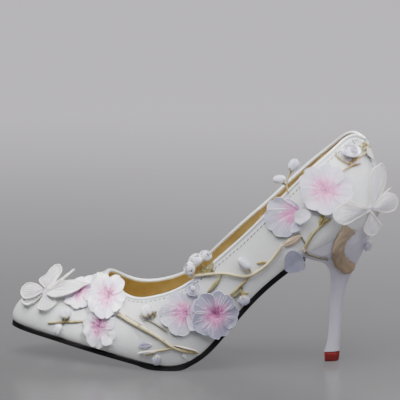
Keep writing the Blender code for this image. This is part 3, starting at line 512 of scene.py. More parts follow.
# Outlines of the wings with their tips upwards: share along, width left and right of the middle line.
WING_SHAPES = {
    "oval": (
        (0.0, 0.14, 0.14),
        (0.18, 0.52, 0.52),
        (0.4, 0.86, 0.86),
        (0.64, 1.0, 1.0),
        (0.86, 0.97, 0.97),
        (1.0, 0.84, 0.84),
    ),
    "fore": (
        (0.0, 0.2, 0.14),
        (0.16, 1.3, 0.45),
        (0.38, 1.1, 0.52),
        (0.6, 0.84, 0.56),
        (0.84, 0.74, 0.66),
        (1.0, 0.64, 0.6),
    ),
    "fan": (
        (0.0, 0.12, 0.12),
        (0.2, 0.4, 0.4),
        (0.5, 0.76, 0.76),
        (0.78, 1.0, 1.0),
        (1.0, 0.84, 0.84),
    ),
    "blade": (
        (0.0, 0.3, 0.5),
        (0.12, 0.7, 1.0),
        (0.32, 0.9, 1.2),
        (0.62, 0.74, 1.0),
        (0.86, 0.42, 0.7),
        (1.0, 0.2, 0.34),
    ),
}
# How much closer the cloth of a kind of wing is woven.
WING_COVER = {"blade": 0.45}

# Tints of dust, scuffs, patches and wear in the finishes.
LEATHER_DUST = (0.50, 0.48, 0.44)
LEATHER_SCUFF = (0.58, 0.57, 0.56)
LINING_SCUFF = (0.52, 0.36, 0.15)
SOLE_GREY = (0.022, 0.021, 0.021)
SOLE_WORN = (0.11, 0.105, 0.1)
HEEL_PATCH = (0.62, 0.60, 0.68)
HEEL_STREAK = (0.55, 0.53, 0.60)
HEEL_SCUFF = (0.5, 0.48, 0.5)
LIFT_DARK = (0.13, 0.008, 0.008)
LIFT_WORN = (0.2, 0.1, 0.09)


def length(name, description, metres):
    return FloatProperty(name=name, description=description, default=metres, unit="LENGTH")


def angle(name, description, degrees):
    return FloatProperty(name=name, description=description, default=math.radians(degrees), subtype="ANGLE")


def colour(name, description, value):
    return FloatVectorProperty(
        name=name, description=description, default=value, size=3, min=0.0, max=1.0, subtype="COLOR"
    )


class ShoeSizes(bpy.types.PropertyGroup):
    """Sizes of the worked surfaces"""

    wall: length("Wall", "Leather and lining together", 1.6 * MM)
    piping: length("Piping", "Width of the rolled edge of the opening", 2.7 * MM)
    stitch_length: length("Stitch", "Length of a seam stitch", 2.0 * MM)
    stitch_pitch: length("Stitch Pitch", "From one seam stitch to the next", 3.0 * MM)
    stitch_inset: length("Seam Inset", "From the topline down to its seam", 3.0 * MM)
    petal_cloth: length("Petal Cloth", "Thickness of a petal", 0.24 * MM)
    gauze: length("Gauze", "Thickness of a butterfly's wings", 0.12 * MM)
    edge_thread: length("Edge Thread", "Radius of the thread round a petal", 0.2 * MM)
    stitch_width: length("Stitch Width", "Thickness of a seam thread", 0.6 * MM)
    stitch_slant: angle("Stitch Slant", "Turn of a stitch against its seam", 15)
    petal_stitches: IntProperty(
        name="Petal Stitches", description="Pink stitches on a fully pink petal", default=17, min=4, max=40
    )


class ShoeColours(bpy.types.PropertyGroup):
    """Colours of the finishes"""

    leather: colour("Leather", "White leather of the upper", (0.77, 0.785, 0.785))
    leather_shade: colour("Leather Shade", "Cooler patches of the leather", (0.58, 0.62, 0.625))
    lining: colour("Lining", "Tan lining in the light", (0.53, 0.42, 0.19))
    lining_shade: colour("Lining Shade", "Tan lining where it is darker", (0.36, 0.26, 0.095))
    sole: colour("Sole", "Black sole and its edge", (0.004, 0.004, 0.005))
    # The heel's lavender tint is painted light: it stands in for the cool light on that side of the shoe.
    heel: colour("Heel", "White lacquer of the heel", (0.74, 0.72, 0.82))
    top_lift: colour("Top Lift", "Dark red tip of the heel", (0.30, 0.026, 0.022))
    petal: colour("Petal", "White petal cloth", (0.95, 0.94, 0.97))
    petal_shade: colour("Petal Shade", "Lavender in the petal cloth", (0.66, 0.67, 0.88))
    # Painted shade: petals that lie in shadow are mixed towards this colour.
    petal_grey: colour("Petal Grey", "Sheer petal cloth that lies in shade", (0.30, 0.30, 0.45))
    pink: colour("Pink", "Pink thread of the blossom", (0.88, 0.34, 0.66))
    deep_pink: colour("Deep Pink", "Pink thread near the middle", (0.74, 0.23, 0.52))
    plum: colour("Plum", "Dark knots in the middle of a blossom", (0.07, 0.012, 0.03))
    gold: colour("Gold", "Gold thread of the branches", (0.58, 0.50, 0.24))
    gold_shade: colour("Gold Shade", "Darker gold thread", (0.30, 0.23, 0.085))
    cream: colour("Cream", "Pale thread of the main branches", (0.74, 0.65, 0.43))
    leaf: colour("Leaf", "Green-gold thread of leaves and sepals", (0.45, 0.44, 0.19))
    olive: colour("Olive", "Dark thread of the thin twigs", (0.30, 0.29, 0.17))
    bark: colour("Bark", "Olive brown thread of the trunk", (0.56, 0.46, 0.33))
    # Bark Light pales the trunk's foot: partly the thread's own colour, partly a painted highlight.
    bark_light: colour("Bark Light", "Pinkish tan thread of the trunk's foot", (0.70, 0.52, 0.34))
    gauze: colour("Gauze", "Sheer white of the wings", (0.86, 0.86, 0.86))
    edge: colour("Edge", "Cream white thread round the wings", (0.93, 0.91, 0.86))
    mauve: colour("Mauve", "Sheer loose petals", (0.58, 0.58, 0.68))
    floor: colour("Floor", "Milky studio floor", (0.03, 0.03, 0.03))
    glow_near: colour("Glow Near", "Light through the floor in front of the shoe", (0.16, 0.16, 0.165))
    glow_far: colour("Glow Far", "Light through the floor far behind the shoe", (0.66, 0.63, 0.67))


class ShoeStage(bpy.types.PropertyGroup):
    """Camera and light"""

    azimuth: angle("Azimuth", "Turn of the camera round the shoe", 5)
    elevation: angle("Elevation", "Height of the camera as an angle", 10)
    distance: length("Distance", "From the camera to the shoe", 1.05)
    view_width: length("View Width", "Width of the picture at the shoe", 0.262)
    light: FloatProperty(name="Light", description="Strength of the soft boxes", default=1.0, min=0.0)


def spline(knots, values):
    """A natural cubic spline through the knots, as a function of arrays."""
    order = np.argsort(knots)
    knots = np.asarray(knots, float)[order]
    values = np.asarray(values, float)[order]
    step = np.diff(knots)
    rise = np.diff(values) / step
    count = len(knots)
    system = np.eye(count)
    target = np.zeros(count)
    for i in range(1, count - 1):
        system[i, i - 1 : i + 2] = step[i - 1], 2 * (step[i - 1] + step[i]), step[i]
        target[i] = 6 * (rise[i] - rise[i - 1])
    bend = np.linalg.solve(system, target)

    def value(at):
        i = np.clip(np.searchsorted(knots, at) - 1, 0, count - 2)
        a = knots[i + 1] - at
        b = at - knots[i]
        curved = (bend[i] * a**3 + bend[i + 1] * b**3) / (6 * step[i])
        straight = (values[i] / step[i] - bend[i] * step[i] / 6) * a
        return curved + straight + (values[i + 1] / step[i] - bend[i + 1] * step[i] / 6) * b

    return value


def columns(table):
    return np.array(table, float).T


LAST_X, LAST_OUTER, LAST_INNER, LAST_Z = columns(LAST)
HEEL_X, TOE_X = LAST_X[0], LAST_X[-1]
MID_X, HALF_X = (HEEL_X + TOE_X) / 2, (HEEL_X - TOE_X) / 2
RIDGE_X, RIDGE_Y, RIDGE_Z = columns(RIDGE)
FULL_X, FULL_POWER, FULL_BULGE = columns(FULLNESS)
TOP_X, TOP_OUTER, TOP_INNER = columns(TOPLINE)


def turn_of(x):
    """Angle round the outline, 0 at the back of the heel and pi at the toe, of a section at x."""
    return np.arccos(np.clip((np.asarray(x, float) - MID_X) / HALF_X, -1, 1))


def outline_curve():
    turn = turn_of(LAST_X)
    around = np.concatenate([turn, 2 * np.pi - turn[-2:0:-1]])
    sides = np.concatenate([-LAST_OUTER, LAST_INNER[-2:0:-1]])
    knots = np.concatenate([around - 2 * np.pi, around, around + 2 * np.pi])
    return spline(knots, np.tile(sides, 3))


outline_y = outline_curve()
feather_z = spline(LAST_X, LAST_Z)
ridge_y, ridge_z = spline(RIDGE_X, RIDGE_Y), spline(RIDGE_X, RIDGE_Z)
power_at, bulge_at = spline(FULL_X, FULL_POWER), spline(FULL_X, FULL_BULGE)
topline_outer, topline_inner = spline(TOP_X, TOP_OUTER), spline(TOP_X, TOP_INNER)


def unit(vectors):
    return vectors / np.maximum(np.linalg.norm(vectors, axis=-1, keepdims=True), 1e-9)


def feather(turn):
    """Points of the feather edge, where the upper meets the sole."""
    x = MID_X + HALF_X * np.cos(turn)
    return np.stack([x, outline_y(np.mod(turn, 2 * np.pi)), feather_z(x)], axis=-1)


def outward(turn):
    """The outline's outward normal in plan."""
    along = feather(turn + TURN_STEP) - feather(turn - TURN_STEP)
    return unit(np.stack([-along[..., 1], along[..., 0], np.zeros_like(along[..., 0])], axis=-1))


def crown(x):
    """Where the section that meets the feather edge at x comes to the crown."""
    at = RIDGE_X[0] + (x - TOE_X) / (HEEL_X - TOE_X) * (RIDGE_X[-1] - RIDGE_X[0])
    return np.stack([at, ridge_y(at), ridge_z(at)], axis=-1)


def section_at(ridge_at):
    """The feather edge's x of the section whose crown is at ridge_at."""
    return TOE_X + (ridge_at - RIDGE_X[0]) / (RIDGE_X[-1] - RIDGE_X[0]) * (HEEL_X - TOE_X)


def wall(turn, lift):
    """Points of the upper's outside, from the sole at lift 0 to the crown at pi/2."""
    turn, lift = np.broadcast_arrays(np.asarray(turn, float), np.asarray(lift, float))
    foot = feather(turn)
    top = crown(foot[..., 0])
    power = 2 / power_at(foot[..., 0])
    side = np.maximum(np.cos(lift), 0.0) ** power
    height = np.maximum(np.sin(lift), 0.0) ** power
    bump = bulge_at(foot[..., 0]) * side * height / BULGE_AT * np.exp(1 - height / BULGE_AT)
    point = top + (foot - top) * side[..., None] + outward(turn) * bump[..., None]
    point[..., 2] = foot[..., 2] + (top[..., 2] - foot[..., 2]) * height
    return point


def wall_normal(turn, lift):
    higher, lower = np.minimum(lift + LIFT_STEP, np.pi / 2), np.maximum(lift - LIFT_STEP, 0.0)
    up = wall(turn, higher) - wall(turn, lower)
    along = wall(turn + LIFT_STEP, lift) - wall(turn - LIFT_STEP, lift)
    return unit(np.cross(up, along))


THROAT_TURN = float(turn_of(section_at(TOP_X[0])))
BREAST_TURN = float(turn_of(BREAST_X))


def opening_lift(turn):
    """The lift at which the opening cuts each section, or pi/2 where the vamp is closed."""
    turn = np.mod(np.asarray(turn, float), 2 * np.pi)
    low = np.full(turn.shape, 0.2)
    high = np.full(turn.shape, np.pi / 2)
    for _ in range(HALVINGS):
        middle = (low + high) / 2
        point = wall(turn, middle)
        edge = np.where(turn <= np.pi, topline_outer(point[..., 0]), topline_inner(point[..., 0]))
        above = point[..., 2] > edge
        high = np.where(above, middle, high)
        low = np.where(above, low, middle)
    closed = np.abs(turn - np.pi) <= np.pi - THROAT_TURN + 1e-7
    return np.where(closed, np.pi / 2, low)


def half_turns():
    """Stations from the back of the heel to the toe, close together behind the throat."""
    seat = BREAST_TURN * np.arange(SEAT_STATIONS) / SEAT_STATIONS
    ease = np.sin(np.pi / 2 * np.arange(SIDE_STATIONS) / SIDE_STATIONS)
    side = BREAST_TURN + (THROAT_TURN - BREAST_TURN) * ease
    vamp = np.linspace(THROAT_TURN, np.pi, VAMP_STATIONS + 1)
    return np.concatenate([seat, side, vamp])


def opening_loop():
    """Stations round the opening, from the throat along the outer side to the heel and back inside."""
    behind = half_turns()[: SEAT_STATIONS + SIDE_STATIONS + 1]
    return np.concatenate([behind[::-1], 2 * np.pi - behind[1:-1]])


def opening_frame(loop):
    """Points of the opening's edge, the wall's normals there, and the way past the edge."""
    lift = opening_lift(loop)
    edge = wall(loop, lift)
    normal = wall_normal(loop, lift)
    along = np.roll(edge, -1, axis=0) - np.roll(edge, 1, axis=0)
    return edge, normal, unit(np.cross(normal, along))


def build_form():
    """The last's whole outside with the heel, to lay trim on."""
    turn = np.linspace(0, 2 * np.pi, FORM_STATIONS, endpoint=False)
    lift = np.linspace(0, np.pi / 2, FORM_ROWS + 1)
    points = wall(turn[:, None], lift[None, :])
    skirt = points[:, :1].copy()
    skirt[..., 2] -= np.where(points[:, :1, 0] < BREAST_X, FORM_SKIRT, SEAT_DROP)
    points = np.concatenate([skirt, points], axis=1)
    wide = points.shape[1]
    faces = []
    for i in range(FORM_STATIONS):
        here, there = wide * i, wide * ((i + 1) % FORM_STATIONS)
        faces += [(here + j, here + j + 1, there + j + 1, there + j) for j in range(wide - 1)]
    rings = heel_rings(np.linspace(0, len(HEEL), FORM_HEEL_ROWS))
    start, around = points.reshape(-1, 3).shape[0], rings.shape[1]
    for i in range(len(rings) - 1):
        here, there = start + around * i, start + around * (i + 1)
        for j in range(around):
            k = (j + 1) % around
            faces.append((here + j, there + j, there + k, here + k))
    every = np.concatenate([points.reshape(-1, 3), rings.reshape(-1, 3)])
    return BVHTree.FromPolygons([tuple(p) for p in every], faces)


def plan_offset(turn, distance):
    """The feather edge moved outwards in plan, at the height that the sole has there."""
    point = feather(turn) + outward(turn) * distance
    point[..., 2] = feather_z(point[..., 0])
    return point


def sole_down(turn):
    """The way down and out of the sole."""
    x = MID_X + HALF_X * np.cos(turn)
    slope = (feather_z(x + 0.1) - feather_z(x - 0.1)) / 0.2
    return unit(np.stack([slope, np.zeros_like(slope), -np.ones_like(slope)], axis=-1))


def heel_rings(levels):
    """Rings of the heel at levels from 0 at the seat to the table's last row, outer front corner first."""
    half = np.linspace(BREAST_TURN, 0, HEEL_STATIONS)
    turn = np.concatenate([half, 2 * np.pi - half[-2::-1]])
    seat = plan_offset(turn, 0.0)
    seat[:, 2] -= SEAT_DROP
    front = seat[-1] + (seat[0] - seat[-1]) * np.linspace(0, 1, BREAST_STATIONS)[1:-1, None]
    seat = np.concatenate([seat, front])
    share = (seat[:, 0] - BREAST_X) / (HEEL_X - BREAST_X)
    across = seat[:, 1] / np.abs(seat[:, 1]).max()
    rows = [spline(np.arange(len(HEEL)), column) for column in columns(HEEL)]
    rings = []
    for level in np.atleast_1d(levels):
        front_x, front_z, back_x, back_z, half_width = (row(max(level - 1, 0.0)) for row in rows)
        ring = np.stack(
            [
                front_x + share * (back_x - front_x),
                across * half_width,
                front_z + share * (back_z - front_z),
            ],
            axis=-1,
        )
        rings.append(seat + (ring - seat) * min(level, 1.0))
    return np.array(rings)


FORM = build_form()


def touch(x, z):
    """The point of the form's outer side at x and z in side view, and the smoothed normal there."""
    hits = []
    wide = TOUCH_SPREAD
    for dx, dz in ((0.0, 0.0), (wide, 0.0), (-wide, 0.0), (0.0, wide), (0.0, -wide)):
        place, normal, _, _ = FORM.ray_cast(Vector((x + dx, FAR_OUTSIDE, z + dz)), Vector((0.0, 1.0, 0.0)))
        if place is not None:
            hits.append((place, normal))
    if not hits:
        raise RuntimeError(f"nothing of the shoe lies at x {x} and z {z} in side view")
    return hits[0][0], sum((n for _, n in hits), Vector()).normalized()


def axes_on(normal, turn_deg):
    """Two directions in the plane across the normal, the first turned from the one nearest +X."""
    across = (Vector((1.0, 0.0, 0.0)) - normal * normal.x).normalized()
    upward = normal.cross(across)
    turn = math.radians(turn_deg)
    first = across * math.cos(turn) + upward * math.sin(turn)
    return first, normal.cross(first)


def drape(middle, normal, place, height):
    """A place in the plane across the normal, brought down on the form and then lifted off it."""
    reach, wide = DRAPE_REACH, DRAPE_SPREAD
    first, second = axes_on(normal, 0.0)
    hits = []
    for offset in (Vector(), first * wide, -first * wide, second * wide, -second * wide):
        hit, facing, _, _ = FORM.ray_cast(middle + place + offset + normal * reach, -normal, 2 * reach)
        if hit is None:
            hit, facing = middle + place + offset, normal
        hits.append((hit, facing))
    facing = sum((n for _, n in hits), Vector()).normalized()
    return hits[0][0] + facing * height


def pick(*objects):
    """Selects these objects alone, the last of them active."""
    bpy.ops.object.select_all(action="DESELECT")
    for made in objects:
        made.select_set(True)
    bpy.context.view_layer.objects.active = objects[-1]


def shares(cells):
    """The even steps from 0 to 1 of a grid with that many cells."""
    return np.linspace(0, 1, cells + 1)


def grid_of(name, points):
    """A grid with its UV map, its rows of points where the array puts them in millimetres."""
    points = np.asarray(points, float)
    rows, wide = points.shape[:2]
    bpy.ops.object.select_all(action="DESELECT")
    bpy.ops.mesh.primitive_grid_add(x_subdivisions=wide - 1, y_subdivisions=rows - 1, size=2.0)
    made = bpy.context.object
    made.name = name
    made.data.name = name
    made.data.vertices.foreach_set("co", (points * MM).astype(np.float32).ravel())
    made.data.update()
    return made


def edit(made, *steps):
    """Runs edit-mode steps on all of a mesh."""
    pick(made)
    bpy.ops.object.mode_set(mode="EDIT")
    bpy.ops.mesh.select_all(action="SELECT")
    for step, settings in steps:
        step(**settings)
    bpy.ops.object.mode_set(mode="OBJECT")
    return made


def weld(made, reach=WELD_REACH):
    return edit(made, (bpy.ops.mesh.remove_doubles, {"threshold": reach * MM}))


def close_up(made):
    """Merges the seam, fills open ends and turns the faces of a closed piece outwards."""
    return edit(
        made,
        (bpy.ops.mesh.remove_doubles, {"threshold": CLOSE_REACH * MM}),
        (bpy.ops.mesh.fill_holes, {"sides": 0}),
        (bpy.ops.mesh.select_all, {"action": "SELECT"}),
        (bpy.ops.mesh.normals_make_consistent, {"inside": False}),
    )


def use(made, kind, **settings):
    """Adds a modifier and applies it."""
    modifier = made.modifiers.new(kind.title(), kind)
    for name, value in settings.items():
        setattr(modifier, name, value)
    pick(made)
    bpy.ops.object.modifier_apply(modifier=modifier.name)
    return made


def thicken(made, thickness, side=1.0, **settings):
    return use(made, "SOLIDIFY", thickness=thickness, offset=side, **settings)


def paint(made, *materials):
    made.data.materials.clear()
    for material in materials:
        made.data.materials.append(material)
    return made


def note(made, name, values):
    """Keeps a number for each point of a mesh, for its material to read."""
    attribute = made.data.attributes.new(name, "FLOAT", "POINT")
    attribute.data.foreach_set("value", np.broadcast_to(values, len(made.data.vertices)).astype(np.float32))
    return made


def note_tread(made, reach):
    """Notes how near the floor each point is, from 1 on it to 0 at the reach above it."""
    height = np.array([v.co.z for v in made.data.vertices]) / MM
    return note(made, "tread", np.clip(1 - height / reach, 0, 1))


def stretch_uv(made, across, along):
    """Scales a UV map to the size of what it covers."""
    layer = made.data.uv_layers[0]
    flat = np.empty(len(layer.data) * 2, np.float32)
    layer.data.foreach_get("uv", flat)
    layer.data.foreach_set("uv", (flat.reshape(-1, 2) * (across, along)).astype(np.float32).ravel())
    return made


def join(name, parts):
    """Joins meshes in one piece."""
    pick(*parts)
    if len(parts) > 1:
        bpy.ops.object.join()
    made = bpy.context.object
    made.name = name
    made.data.name = name
    return made


def hand_over(made, slot, *nodes):
    """Finishes a piece: smooth shading, its body, and the nodes that it stands for. The slot is not used."""
    pick(made)
    bpy.ops.object.shade_smooth_by_angle(angle=math.radians(SMOOTH_DEG))
    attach(made, "root")
    if nodes:
        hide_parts(*nodes)
    return made


def threads(name, runs, material, sides=1):
    """Thin round threads, each one a list of points with a radius, as one mesh."""
    curve = bpy.data.curves.new(name, "CURVE")
    curve.dimensions = "3D"
    curve.bevel_depth = MM
    curve.bevel_resolution = sides
    curve.use_fill_caps = True
    for points, radii in runs:
        run = curve.splines.new("POLY")
        run.points.add(len(points) - 1)
        places = np.concatenate([np.asarray(points, float) * MM, np.ones((len(points), 1))], axis=1)
        run.points.foreach_set("co", places.ravel())
        run.points.foreach_set("radius", np.broadcast_to(radii, len(points)).astype(float))
    made = bpy.data.objects.new(name, curve)
    bpy.context.scene.collection.objects.link(made)
    curve.materials.append(material)
    pick(made)
    bpy.ops.object.convert(target="MESH")
    return weld(bpy.context.object, THREAD_REACH)


def distances(points):
    """How far along a line each of its points is."""
    return np.concatenate([[0.0], np.cumsum(np.linalg.norm(np.diff(points, axis=0), axis=1))])


def cord(name, path, normals, radii, material, flat=CORD_FLAT, sides=10, ridge=0.1, pitch=1.3):
    """A twisted stitched cord along a path, a little flat on the leather, closed at its ends."""
    path, normals = np.asarray(path, float), unit(np.asarray(normals, float))
    far = distances(path)
    beside = unit(np.cross(unit(np.gradient(path, axis=0)), normals))
    radii = np.asarray(radii, float)
    end = np.clip(1 - np.minimum(far, far[-1] - far) / (CORD_END * radii), 0, 1)
    radii = radii * np.sqrt(np.maximum(1 - end * end, 0))
    angle = 2 * np.pi * shares(sides)
    twist = 1 + ridge * np.cos(2 * angle + 2 * np.pi * far[:, None] / pitch)
    ring = normals[:, None] * (flat * np.cos(angle))[:, None] + beside[:, None] * np.sin(angle)[:, None]
    made = grid_of(name, path[:, None] + ring * (radii[:, None] * twist)[..., None])
    stretch_uv(made, 1.0, far[-1])
    weld(made, THREAD_REACH)
    return paint(made, material)


def cord_on_leather(name, route, start_radius, end_radius, rise, material):
    """A cord laid on the leather through a route in side view."""
    route = np.array(route, float)
    far = distances(route)
    curve_x, curve_z = spline(far, route[:, 0]), spline(far, route[:, 1])
    count = max(8, round(far[-1] / CORD_STEP) + 1)
    path, normals, radii = [], [], []
    for share in np.linspace(0, 1, count):
        radius = start_radius + share * (end_radius - start_radius)
        place, normal = touch(float(curve_x(share * far[-1])), float(curve_z(share * far[-1])))
        path.append(place + normal * (CORD_GAP + rise + radius * CORD_FLAT))
        normals.append(normal)
        radii.append(radius)
    return cord(name, path, normals, radii, material)


def model_stitch(length, width):
    """One stitch as a rounded bar of thread, its length along X."""
    bpy.ops.object.select_all(action="DESELECT")
    bpy.ops.mesh.primitive_cube_add(size=1.0)
    made = bpy.context.object
    made.scale = (length, width, width * STITCH_HEIGHT)
    bpy.ops.object.transform_apply(location=False, rotation=False, scale=True)
    edit(made, (bpy.ops.mesh.bevel, {"offset": width * STITCH_BEVEL, "segments": 1}))
    return made


def row_of_stitches(name, points, normals, sizes, material, closed=True):
    """A seam: one stitch, copied along a line of points at an even pitch."""
    points, normals = np.asarray(points, float), np.asarray(normals, float)
    if closed:
        points = np.concatenate([points, points[:1]])
        normals = np.concatenate([normals, normals[:1]])
    far = distances(points)
    count = int(far[-1] / (sizes.stitch_pitch / MM))
    at = (np.arange(count) + 0.5) * far[-1] / count

    def on_seam(values, where):
        return np.stack([np.interp(where, far, values[:, k]) for k in range(3)], axis=-1)

    facing = unit(on_seam(normals, at))
    along = unit(on_seam(points, at + SEAM_REACH) - on_seam(points, at - SEAM_REACH))
    beside = unit(np.cross(facing, along))
    facing = np.cross(along, beside)
    turn_cos, turn_sin = math.cos(sizes.stitch_slant), math.sin(sizes.stitch_slant)
    slanted = along * turn_cos + beside * turn_sin
    axes = np.stack([slanted, beside * turn_cos - along * turn_sin, facing], axis=1)
    pattern = model_stitch(sizes.stitch_length, sizes.stitch_width)
    shape = np.array([v.co for v in pattern.data.vertices])
    faces = [list(face.vertices) for face in pattern.data.polygons]
    bpy.data.objects.remove(pattern)
    every = np.einsum("vk,nkd->nvd", shape, axes) + on_seam(points, at)[:, None] * MM
    copies = [[i + n * len(shape) for i in face] for n in range(count) for face in faces]
    mesh = bpy.data.meshes.new(name)
    mesh.from_pydata(every.reshape(-1, 3).tolist(), [], copies)
    made = bpy.data.objects.new(name, mesh)
    bpy.context.scene.collection.objects.link(made)
    return paint(made, material)


class Nodes:
    """A node tree, and short ways to add what the finishes are made of."""

    def __init__(self, tree):
        self.tree = tree

    def feed(self, socket, value):
        """Links a socket to another, or sets it to a value."""
        if isinstance(value, bpy.types.NodeSocket):
            self.tree.links.new(value, socket)
        elif hasattr(socket.default_value, "__len__") and len(socket.default_value) == 4:
            socket.default_value = (*value[:3], 1.0)
        else:
            socket.default_value = value

    def add(self, kind, inputs, **settings):
        """Adds a node with its settings and inputs, and gives its outputs."""
        made = self.tree.nodes.new(kind)
        for name, value in settings.items():
            setattr(made, name, value)
        for name, value in inputs.items():
            self.feed(made.inputs[name], value)
        return made.outputs

    def mix(self, share, first, second, way="MIX"):
        """A colour between two others."""
        inputs = {0: share, 6: first, 7: second}
        return self.add("ShaderNodeMix", inputs, data_type="RGBA", blend_type=way)[2]

    def sums(self, operation, first, second=0.0, third=0.0):
        return self.add("ShaderNodeMath", {0: first, 1: second, 2: third}, operation=operation)[0]

    def times(self, first, second):
        return self.sums("MULTIPLY", first, second)

    def spread(self, value, from_low, from_high, to_low=0.0, to_high=1.0):
        """A value's range stretched to another, with soft ends."""
        inputs = {"Value": value, "From Min": from_low, "From Max": from_high}
        inputs |= {"To Min": to_low, "To Max": to_high}
        return self.add("ShaderNodeMapRange", inputs, interpolation_type="SMOOTHSTEP")["Result"]

    def noise(self, place, scale, detail=3.0, **inputs):
        inputs.update(Vector=place, Scale=scale, Detail=detail)
        return self.add("ShaderNodeTexNoise", inputs)["Fac"]

    def stretched(self, place, scale):
        return self.add("ShaderNodeMapping", {"Vector": place, "Scale": scale})[0]

    def split(self, place):
        return self.add("ShaderNodeSeparateXYZ", {"Vector": place})

    def attribute(self, name):
        return self.add("ShaderNodeAttribute", {}, attribute_name=name)["Fac"]

    def group(self, name, **inputs):
        """An effect that several finishes share, made when it is first asked for."""
        tree = bpy.data.node_groups.get(name) or GROUPS[name]()
        return self.add("ShaderNodeGroup", inputs, node_tree=tree)


class Finish(Nodes):
    """A Principled material, its shader, and the place that its patterns read."""

    def __init__(self, name, **values):
        self.material = bpy.data.materials.new(name)
        self.material.use_nodes = True
        super().__init__(self.material.node_tree)
        self.shader = self.tree.nodes["Principled BSDF"]
        self.set(**values)
        self.place = self.add("ShaderNodeTexCoord", {})["Object"]

    def set(self, **values):
        for label, value in values.items():
            self.feed(self.shader.inputs[label.replace("_", " ")], value)

    def uv(self):
        return self.split(self.add("ShaderNodeUVMap", {})["UV"])

    def emboss(self, height, distance, strength):
        inputs = {"Height": height, "Distance": distance * MM, "Strength": strength}
        self.set(Normal=self.add("ShaderNodeBump", inputs)["Normal"])
        return self.material

    def ridged(self, tint, ridges, hollow_shade, gloss, distance, strength):
        """Gives threads side by side their colour, with painted shade in the hollows between them, their
        gloss and relief.
        """
        shade = self.spread(ridges["Height"], 0.0, 0.8, hollow_shade, 1.0)
        self.set(Base_Color=self.mix(1.0, tint, shade, way="MULTIPLY"))
        self.set(Roughness=self.spread(ridges["Tone"], 0.0, 1.0, *gloss))
        return self.emboss(ridges["Height"], distance, strength)


def new_group(name, inputs, outputs):
    """An empty shader group: its nodes, the sockets that it is given and those of its results."""
    tree = bpy.data.node_groups.new(name, "ShaderNodeTree")
    for label, value in inputs.items():
        kind = "NodeSocketVector" if value is None else "NodeSocketFloat"
        socket = tree.interface.new_socket(label, in_out="INPUT", socket_type=kind)
        if value is not None:
            socket.default_value = value
    for label in outputs:
        tree.interface.new_socket(label, in_out="OUTPUT", socket_type="NodeSocketFloat")
    return Nodes(tree), tree.nodes.new("NodeGroupInput").outputs, tree.nodes.new("NodeGroupOutput").inputs


def grain_group():
    """Leather grain: fine cells with wider soft patches."""
    nodes, given, result = new_group("Leather Grain", {"Vector": None, "Cells": 900.0}, ("Height", "Tone"))
    place = given["Vector"]
    cells = nodes.add(
        "ShaderNodeTexVoronoi",
        {"Vector": place, "Scale": given["Cells"], "Smoothness": 0.5},
        feature="SMOOTH_F1",
    )
    fine = nodes.noise(place, 520.0, 4.0)
    nodes.feed(result["Height"], nodes.sums("MULTIPLY_ADD", cells["Distance"], 0.6, fine))
    nodes.feed(result["Tone"], nodes.spread(nodes.noise(place, 34.0), 0.32, 0.68))
    return nodes.tree


def scuff_group():
    """Scuffs and dust: sparse streaks that come and go."""
    nodes, given, result = new_group("Scuffs", {"Vector": None, "Streaks": 180.0, "Amount": 0.3}, ("Mask",))
    drawn = nodes.stretched(given["Vector"], (0.3, 1.0, 1.6))
    streak = nodes.spread(nodes.noise(drawn, given["Streaks"], 5.0, Roughness=0.7), 0.55, 0.75)
    patch = nodes.spread(nodes.noise(given["Vector"], 22.0, 2.0), 0.45, 0.7)
    nodes.feed(result["Mask"], nodes.times(nodes.times(streak, patch), given["Amount"]))
    return nodes.tree


def ridges_group():
    """Threads lying side by side: a rounded ridge for each, and a tone of its own."""
    nodes, given, result = new_group("Thread Ridges", {"Place": 0.0, "Along": 0.0}, ("Height", "Tone"))
    wave = nodes.sums("COSINE", nodes.times(given["Place"], 2 * math.pi))
    nodes.feed(result["Height"], nodes.sums("SQRT", nodes.sums("MULTIPLY_ADD", wave, 0.5, 0.5)))
    number = nodes.sums("FLOOR", nodes.sums("ADD", given["Place"], 0.5))
    spot = nodes.add("ShaderNodeCombineXYZ", {"X": number, "Y": nodes.times(given["Along"], 0.15)})
    nodes.feed(result["Tone"], nodes.spread(nodes.noise(spot[0], 1.7, 2.0), 0.3, 0.7))
    return nodes.tree


def weave_group():
    """A plain weave of fine threads, seen as height and as how much the threads cover."""
    nodes, given, result = new_group("Weave", {"Vector": None, "Threads": 3000.0}, ("Height", "Cover"))
    scaled = nodes.add(
        "ShaderNodeVectorMath", {0: given["Vector"], "Scale": given["Threads"]}, operation="SCALE"
    )
    parts = nodes.split(scaled[0])
    waves = []
    for axis in ("X", "Z"):
        wave = nodes.sums("SINE", nodes.times(parts[axis], math.pi))
        waves.append(nodes.sums("ABSOLUTE", wave))
    nodes.feed(result["Height"], nodes.times(*waves))
    nodes.feed(result["Cover"], nodes.sums("MAXIMUM", *waves))
    return nodes.tree


GROUPS = {
    "Leather Grain": grain_group,
    "Scuffs": scuff_group,
    "Thread Ridges": ridges_group,
    "Weave": weave_group,
}


def worn_finish(name, cells, streaks, amount, **values):
    """A finish with grain and scuffs: its nodes, the grain's height and tone, and the scuffs' mask."""
    made = Finish(name, **values)
    grain = made.group("Leather Grain", Vector=made.place, Cells=cells)
    scuffs = made.group("Scuffs", Vector=made.place, Streaks=streaks, Amount=amount)
    return made, grain["Height"], grain["Tone"], scuffs["Mask"]


def leather_finish(colours):
    """Smooth white leather with a light polish, cooler patches and a little dust near the sole."""
    polish = {"Coat_Weight": 0.9, "Coat_Roughness": 0.22, "Coat_IOR": 1.7, "Specular_IOR_Level": 0.45}
    made, grain, tone, scuffs = worn_finish("white_leather", 1150.0, 180.0, 0.35, **polish)
    patchy = made.mix(made.times(tone, 0.55), colours.leather, colours.leather_shade)
    dusty = made.mix(made.times(made.attribute("near_sole"), 0.5), patchy, LEATHER_DUST)
    gloss = made.spread(tone, 0.0, 1.0, 0.27, 0.36)
    made.set(Base_Color=made.mix(scuffs, dusty, LEATHER_SCUFF))
    made.set(Roughness=made.sums("ADD", gloss, scuffs))
    return made.emboss(grain, 0.05, 0.5)


